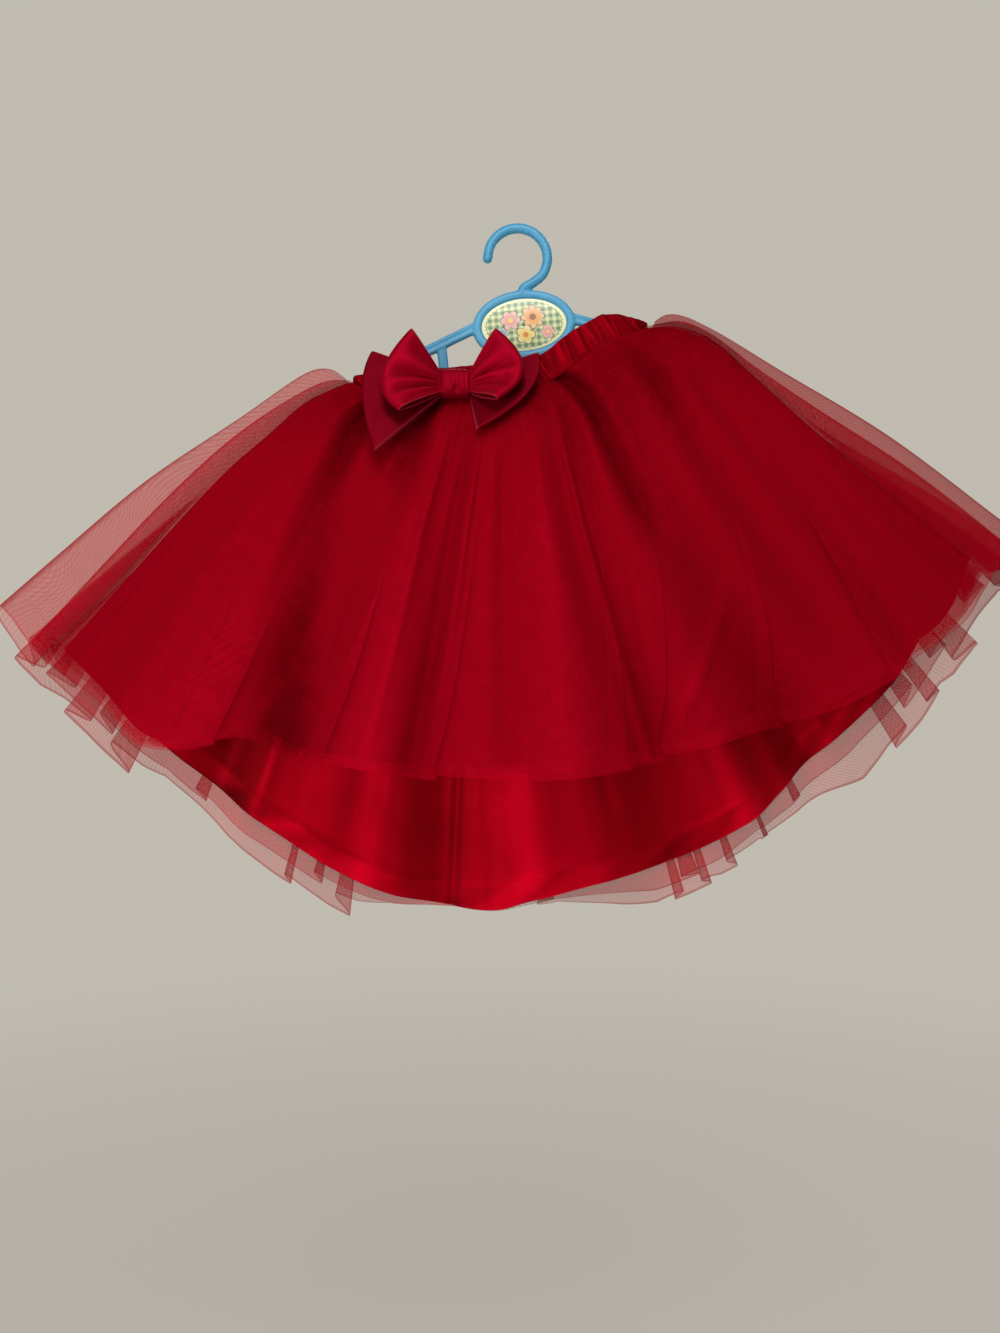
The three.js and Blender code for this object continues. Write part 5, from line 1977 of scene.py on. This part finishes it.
@dataclass
class Hanger:
    """A child's moulded hanger: a round hook, an oval frame, two arms and two pegs.

    It is drawn upright about the middle of its hook and then tilted. Its parts are fused
    by a fine remesh, which also rounds the corners between them as a mould does.

    Attributes:
        radius: the hook's middle line.
        rod: the rod's radius.
        tip: where the hook starts, in degrees.
        leave: where its round part ends.
        tilt: how far the left arm hangs down, in degrees.
        oval: the oval's half width, half height, and how far its middle is below the hook's.
        rim: the width of the oval's rim, and its thickness.
        arm: points of an arm's top edge, out from the hook's middle and down from it.
        arm_size: the arm's height and thickness.
        peg: how far out it is, how low it reaches, its width and thickness.
        grooves: how deep the hollow in the faces of an arm and of a peg is.
        voxel: the size of the remesh, in metres.
        badge_recess: how far the badge lies behind the rim's face.
        badge_thick: how thick the badge is.
    """

    radius: float = 19.4
    rod: float = 3.2
    tip: float = 175.0
    leave: float = -38.0
    tilt: float = 5.5
    oval: Row = (33.5, 22.75, 44.0)
    rim: Row = (6.1, 6.0)
    arm: Sequence[Row] = ((29.0, 38.0), (68.0, 52.6), (134.0, 85.9))
    arm_size: Row = (6.9, 5.4)
    peg: Row = (54.5, 76.0, 6.6, 4.6)
    grooves: Row = (0.7, 0.5)
    voxel: float = 0.00055
    badge_recess: float = 1.2
    badge_thick: float = 2.4

    BADGE_DOME = 0.5  # how far the badge's middle stands forward
    BADGE_RINGS = (0.0005, 0.1, 0.2, 0.3, 0.4, 0.5, 0.6, 0.7, 0.8, 0.88, 0.94, 0.98, 1.0)

    def frame(self) -> Matrix:
        """Where the hanger's own frame is, in millimetres."""
        turn = Matrix.Rotation(-math.radians(self.tilt), 4, "Y")
        return Matrix.Translation(Vector((0, 0, -(self.radius - self.rod)))) @ turn

    def hook_line(self) -> Array:
        """The middle line of the hook and its stem, as x and z."""
        turns = np.radians(np.linspace(self.tip, self.leave, 10))
        points = [(self.radius * math.cos(a), self.radius * math.sin(a)) for a in turns]
        last, inner = math.radians(-62), self.radius - 0.6
        points.append((inner * math.cos(last), inner * math.sin(last)))
        points.append((2.2, -self.radius - 0.6))
        points.append((0.0, self.oval[1] - self.rim[0] / 2 - self.oval[2]))
        return PlanCurve(points).at(np.linspace(0, 1, 140))

    def hook_points(self) -> Array:
        """Rings round the hook's rod, closed by a round tip."""
        line = self.hook_line()
        tangent = np.gradient(line, axis=0)
        tangent /= np.linalg.norm(tangent, axis=1, keepdims=True)
        side = np.stack([tangent[:, 1], -tangent[:, 0]], axis=-1)
        turn = np.linspace(0, 2 * math.pi, 28, endpoint=False)
        cap = np.linspace(0, math.pi / 2, 7)[:-1]
        rings = []
        for angle in cap:
            centre = line[0] - tangent[0] * self.rod * math.cos(angle)
            rings.append((centre, side[0], self.rod * max(math.sin(angle), 0.02)))
        rings += [(line[k], side[k], self.rod) for k in range(len(line))]
        points = []
        for centre, across, radius in rings:
            flat = centre + across * (radius * np.cos(turn))[:, None]
            points.append(np.stack([flat[:, 0], radius * np.sin(turn), flat[:, 1]], axis=-1))
        return np.array(points)

    def oval_points(self) -> Array:
        """The oval's rim: sections with a raised round bead at its outer and inner edge."""
        half_width, half_height, drop = self.oval
        rim, thick = self.rim
        turn = np.linspace(0, 2 * math.pi, 180, endpoint=False)[:, None]
        across = np.linspace(0, 2 * math.pi, 40, endpoint=False)[None, :]
        section_r = np.sign(np.cos(across)) * np.abs(np.cos(across)) ** 0.6 * rim / 2
        section_y = np.sign(np.sin(across)) * np.abs(np.sin(across)) ** 0.75 * thick / 2
        grow = section_r - rim / 2
        x = (half_width + grow) * np.cos(turn)
        z = (half_height + grow) * np.sin(turn) - drop
        return np.stack(np.broadcast_arrays(x, section_y, z), axis=-1)

    @staticmethod
    def bar_points(start: Row, end: Row, width: float, thick: float, groove: float) -> Array:
        """A bar with rounded edges and a rounded end.

        Args:
            start: x and z where it starts.
            end: the same where it ends.
            width: its width.
            thick: its thickness.
            groove: how deep the hollow down its faces is.

        Returns:
            Its points, as closed rings.
        """
        start, end = np.array(start, float), np.array(end, float)
        length = np.linalg.norm(end - start)
        along = (end - start) / length
        side = np.array([along[1], -along[0]])
        turn = np.linspace(0, 2 * math.pi, 32, endpoint=False)
        across = np.sign(np.cos(turn)) * np.abs(np.cos(turn)) ** 0.55
        deep = np.sign(np.sin(turn)) * np.abs(np.sin(turn)) ** 0.6
        hollow = groove * bump(across / 0.62) * np.sign(deep)
        cap = np.sin(np.linspace(0, math.pi / 2, 8))[1:]
        straight = np.linspace(0, length - width / 2, 40)
        stations = np.concatenate([straight, length - width / 2 + cap * width / 2])
        rounding = np.sqrt(np.maximum(1 - cap**2, 0.0004))
        scales = np.concatenate([np.ones_like(straight), rounding])
        rings = []
        for station, scale in zip(stations, scales):
            centre = start + along * station
            flat = centre + side * (across * scale * width / 2)[:, None]
            y = (deep * thick / 2 - hollow) * (0.55 + 0.45 * scale)
            rings.append(np.stack([flat[:, 0], y, flat[:, 1]], axis=-1))
        return np.array(rings)

    def rods(self) -> list[Array]:
        """The rings of the arms and pegs on both sides."""
        at, end, *peg_size = self.peg
        line = [(x, -down - self.arm_size[0] / 2) for x, down in self.arm]
        middle = float(np.interp(at, *zip(*line)))
        arm_groove, peg_groove = self.grooves
        bars = []
        for side in (1, -1):
            for (x0, z0), (x1, z1) in zip(line[:-1], line[1:]):
                ends = ((side * x0, z0), (side * x1, z1))
                bars.append(self.bar_points(*ends, *self.arm_size, arm_groove))
            ends = ((side * at, middle), (side * at, -end))
            bars.append(self.bar_points(*ends, *peg_size, peg_groove))
        return bars

    @staticmethod
    def closed_tube(rings: Array, cyclic: bool) -> tuple[Array, list[list[int]]]:
        """The points and faces of a tube through rings, capped unless it is a ring itself."""
        count, sides = rings.shape[:2]
        faces = ring_quads(count, sides, cyclic).tolist()
        if not cyclic:
            faces.append(list(range(sides))[::-1])
            faces.append(list(range((count - 1) * sides, count * sides)))
        return rings.reshape(-1, 3), faces

    def build(self, finish: Material) -> Piece:
        """Builds the hanger as one moulding.

        Args:
            finish: its plastic.

        Returns:
            The hanger.
        """
        parts = [(self.hook_points(), False), (self.oval_points(), True)]
        parts += [(bar, False) for bar in self.rods()]
        points, faces, start = [], [], 0
        for rings, cyclic in parts:
            some, more = self.closed_tube(rings, cyclic)
            points.append(some)
            faces += [[start + k for k in face] for face in more]
            start += len(some)
        mesh = bpy.data.meshes.new("hanger_moulded")
        whole = transformed(np.vstack(points), self.frame()) * MM
        mesh.from_pydata(whole, [], faces)
        hanger = bpy.data.objects.new("hanger_moulded", mesh)
        bpy.context.collection.objects.link(hanger)
        remesh = hanger.modifiers.new("fuse", "REMESH")
        remesh.mode = "VOXEL"
        remesh.voxel_size = self.voxel
        remesh.use_smooth_shade = True
        soften = hanger.modifiers.new("soften", "SMOOTH")
        soften.factor, soften.iterations = 0.5, 9
        bpy.context.view_layer.update()
        seen = hanger.evaluated_get(bpy.context.evaluated_depsgraph_get())
        fused = bpy.data.meshes.new_from_object(seen)
        hanger.modifiers.clear()
        hanger.data = fused
        fused.materials.clear()
        fused.materials.append(finish)
        declare(hanger, Slot.HANGER, "hanger")
        return hanger

    def badge(self, finish: Material) -> Piece:
        """Builds the oval badge, slightly domed, a little behind the frame's face."""
        half_width, half_height, drop = self.oval
        half = (half_width - self.rim[0] + 0.2, half_height - self.rim[0] + 0.2)
        turn = np.linspace(0, 2 * math.pi, 120, endpoint=False)[:, None]
        face = -self.rim[1] / 2 + self.badge_recess
        share = np.array(self.BADGE_RINGS)
        front = face - self.BADGE_DOME * (1 - share**2)
        back = np.full_like(share, face + self.badge_thick)
        spread = np.concatenate([share, share[::-1]])[None, :]
        y = np.concatenate([front, back])[None, :]
        x, z = half[0] * spread * np.cos(turn), half[1] * spread * np.sin(turn)
        points = np.stack(np.broadcast_arrays(x, y, z - drop), axis=-1)
        printed = np.broadcast_to(np.repeat([1.0, 0.0], len(share)), x.shape)
        flat = np.stack([x, z], axis=-1)
        grid = Grid(transformed(points, self.frame()), flat, {"printed": printed})
        badge = loop_object("hanger_badge_print", grid, finish, flip=True)
        declare(badge, Slot.BADGE, "hanger_badge")
        return badge


# ---- What every piece is told ----


@dataclass(frozen=True)
class Cut:
    """A piece of cloth before it was sewn.

    Attributes:
        width: its width, in metres.
        length: its length.
        area: its area, where that is not its width by its length.
    """

    width: float
    length: float
    area: float = 0.0


def declare(piece: Piece, slot: Slot, *nodes: str) -> None:
    """Attaches a piece to its body and hides the solids that it stands for."""
    if nodes:
        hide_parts(*nodes)
    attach(piece, BODY)
    log.info("%s: %d faces", piece.name, len(piece.data.polygons))


# ---- Studio ----


@dataclass
class Studio:
    """A plain pale floor, soft light, and a camera level with the skirt.

    Attributes:
        focal_share: the lens's focal length as a share of the sensor's width.
        camera: where the camera is, in metres, looking along +Y.
        floor: the floor's height.
        air: the colour of the surroundings.
        ambience: how much of it falls on the skirt as light.
        lamps: name, place, aim, size, power and colour of each light.
    """

    focal_share: float = 1.077
    camera: Row = (-0.0114, -0.7, -0.2815)
    floor: float = -1.15
    air: Row = (0.53, 0.5, 0.435)
    ambience: float = 0.3
    lamps: Sequence[tuple[str, Row, Row, float, float, Row]] = (
        ("window", (-0.05, -1.35, 0.85), (0.0, 0.0, -0.25), 0.7, 17.0, (1.0, 0.97, 0.94)),
        ("room", (-1.0, -1.45, -0.4), (0.0, 0.0, -0.35), 0.9, 11.5, (1.0, 0.97, 0.94)),
        ("behind", (0.35, 1.4, 0.6), (0.0, 0.0, -0.25), 1.1, 12.0, (0.98, 0.98, 1.0)),
    )

    def build(self) -> None:
        """Makes the camera, lights, surroundings and floor."""
        scene = bpy.context.scene
        data = bpy.data.cameras.new("camera")
        data.sensor_fit = "HORIZONTAL"
        data.lens = data.sensor_width * self.focal_share
        data.clip_start = 0.01
        view = bpy.data.objects.new("camera", data)
        view.location = self.camera
        view.rotation_euler = (math.pi / 2, 0, 0)
        scene.collection.objects.link(view)
        scene.camera = view
        scene.view_settings.view_transform = "Standard"
        for name, place, aim, size, power, colour in self.lamps:
            lamp = bpy.data.lights.new(name, "AREA")
            lamp.shape, lamp.size = "SQUARE", size
            lamp.energy, lamp.color = power, colour
            holder = bpy.data.objects.new(name, lamp)
            holder.location = place
            direction = Vector(aim) - Vector(place)
            holder.rotation_euler = direction.to_track_quat("-Z", "Y").to_euler()
            scene.collection.objects.link(holder)
        self.surroundings(scene)
        self.lay_floor()

    def surroundings(self, scene: bpy.types.Scene) -> None:
        """Makes the plain pale air round the skirt."""
        world = bpy.data.worlds.new("studio")
        world.use_nodes = True
        world.node_tree.nodes.clear()
        graph = Graph(world.node_tree)
        seen = graph.out("ShaderNodeLightPath", output="Is Camera Ray")
        strength = self.ambience + (1.0 - self.ambience) * seen
        glow = graph.node("ShaderNodeBackground", inputs={0: (*self.air, 1.0), 1: strength})
        graph.node("ShaderNodeOutputWorld", inputs={0: glow.outputs[0]})
        scene.world = world

    def lay_floor(self) -> None:
        """Lays the floor, which is no part of the skirt."""
        far = 12000.0
        ends = np.array([-far, far])
        x, y = np.meshgrid(ends, ends, indexing="ij")
        points = np.stack([x, y, np.full_like(x, self.floor / MM)], axis=-1)
        grid = Grid(points, points[..., :2], {})
        mesh_object("floor", grid, quads(2, 2), PaleFinish().make(self.air))


# ---- Everything ----


def make_finishes() -> Finishes:
    """Makes every cloth and plastic finish."""
    skirt = SatinFinish(
        "skirt_satin", (0.11, 0.0001, 0.002), (0.33, 0.0002, 0.0055), (0.58, 0.0003, 0.013),
        (0.6, 0.01, 0.035), (0.38, 0.5), 0.3,
    )
    ribbon = SatinFinish(
        "bow_ribbon", (0.085, 0.0001, 0.003), (0.23, 0.0003, 0.009), (0.4, 0.001, 0.018),
        (0.5, 0.03, 0.07), (0.4, 0.5), 0.2,
    )
    thread = SatinFinish(
        "hem_thread", (0.2, 0.0002, 0.004), (0.38, 0.001, 0.01), (0.5, 0.004, 0.02),
        (0.5, 0.02, 0.05), (0.4, 0.5), 0.2,
    )
    inner = TulleFinish(
        "net_inner", (0.13, 0.0001, 0.003), (0.36, 0.0004, 0.009), (0.62, 0.001, 0.02),
        0.3, 0.54, 0.4,
    )
    outer = TulleFinish(
        "net_outer", (0.14, 0.0001, 0.003), (0.38, 0.0005, 0.01), (0.66, 0.002, 0.025),
        0.26, 0.48, 0.0,
    )
    return {
        Slot.SATIN: skirt.make(),
        Slot.BOW: ribbon.make(),
        "thread": thread.make(),
        INNER.name: inner.make(),
        OUTER.name: outer.make(),
        Slot.HANGER: PlasticFinish().make(),
        Slot.BADGE: BadgeFinish().make((0.0276, 0.01685)),
    }


def main() -> None:
    """Builds the studio, the hanger and the skirt with its band and bow."""
    logging.basicConfig(level=logging.INFO, format="%(name)s: %(message)s")
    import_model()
    Studio().build()
    finishes = make_finishes()
    waist = Waist()
    hanger = Hanger()
    hanger.build(finishes[Slot.HANGER])
    hanger.badge(finishes[Slot.BADGE])
    Skirt(Plan(waist), finishes).build()
    Waistband(waist).build(finishes[Slot.SATIN])
    Bow().build(finishes[Slot.BOW])


if __name__ == "__main__":
    main()
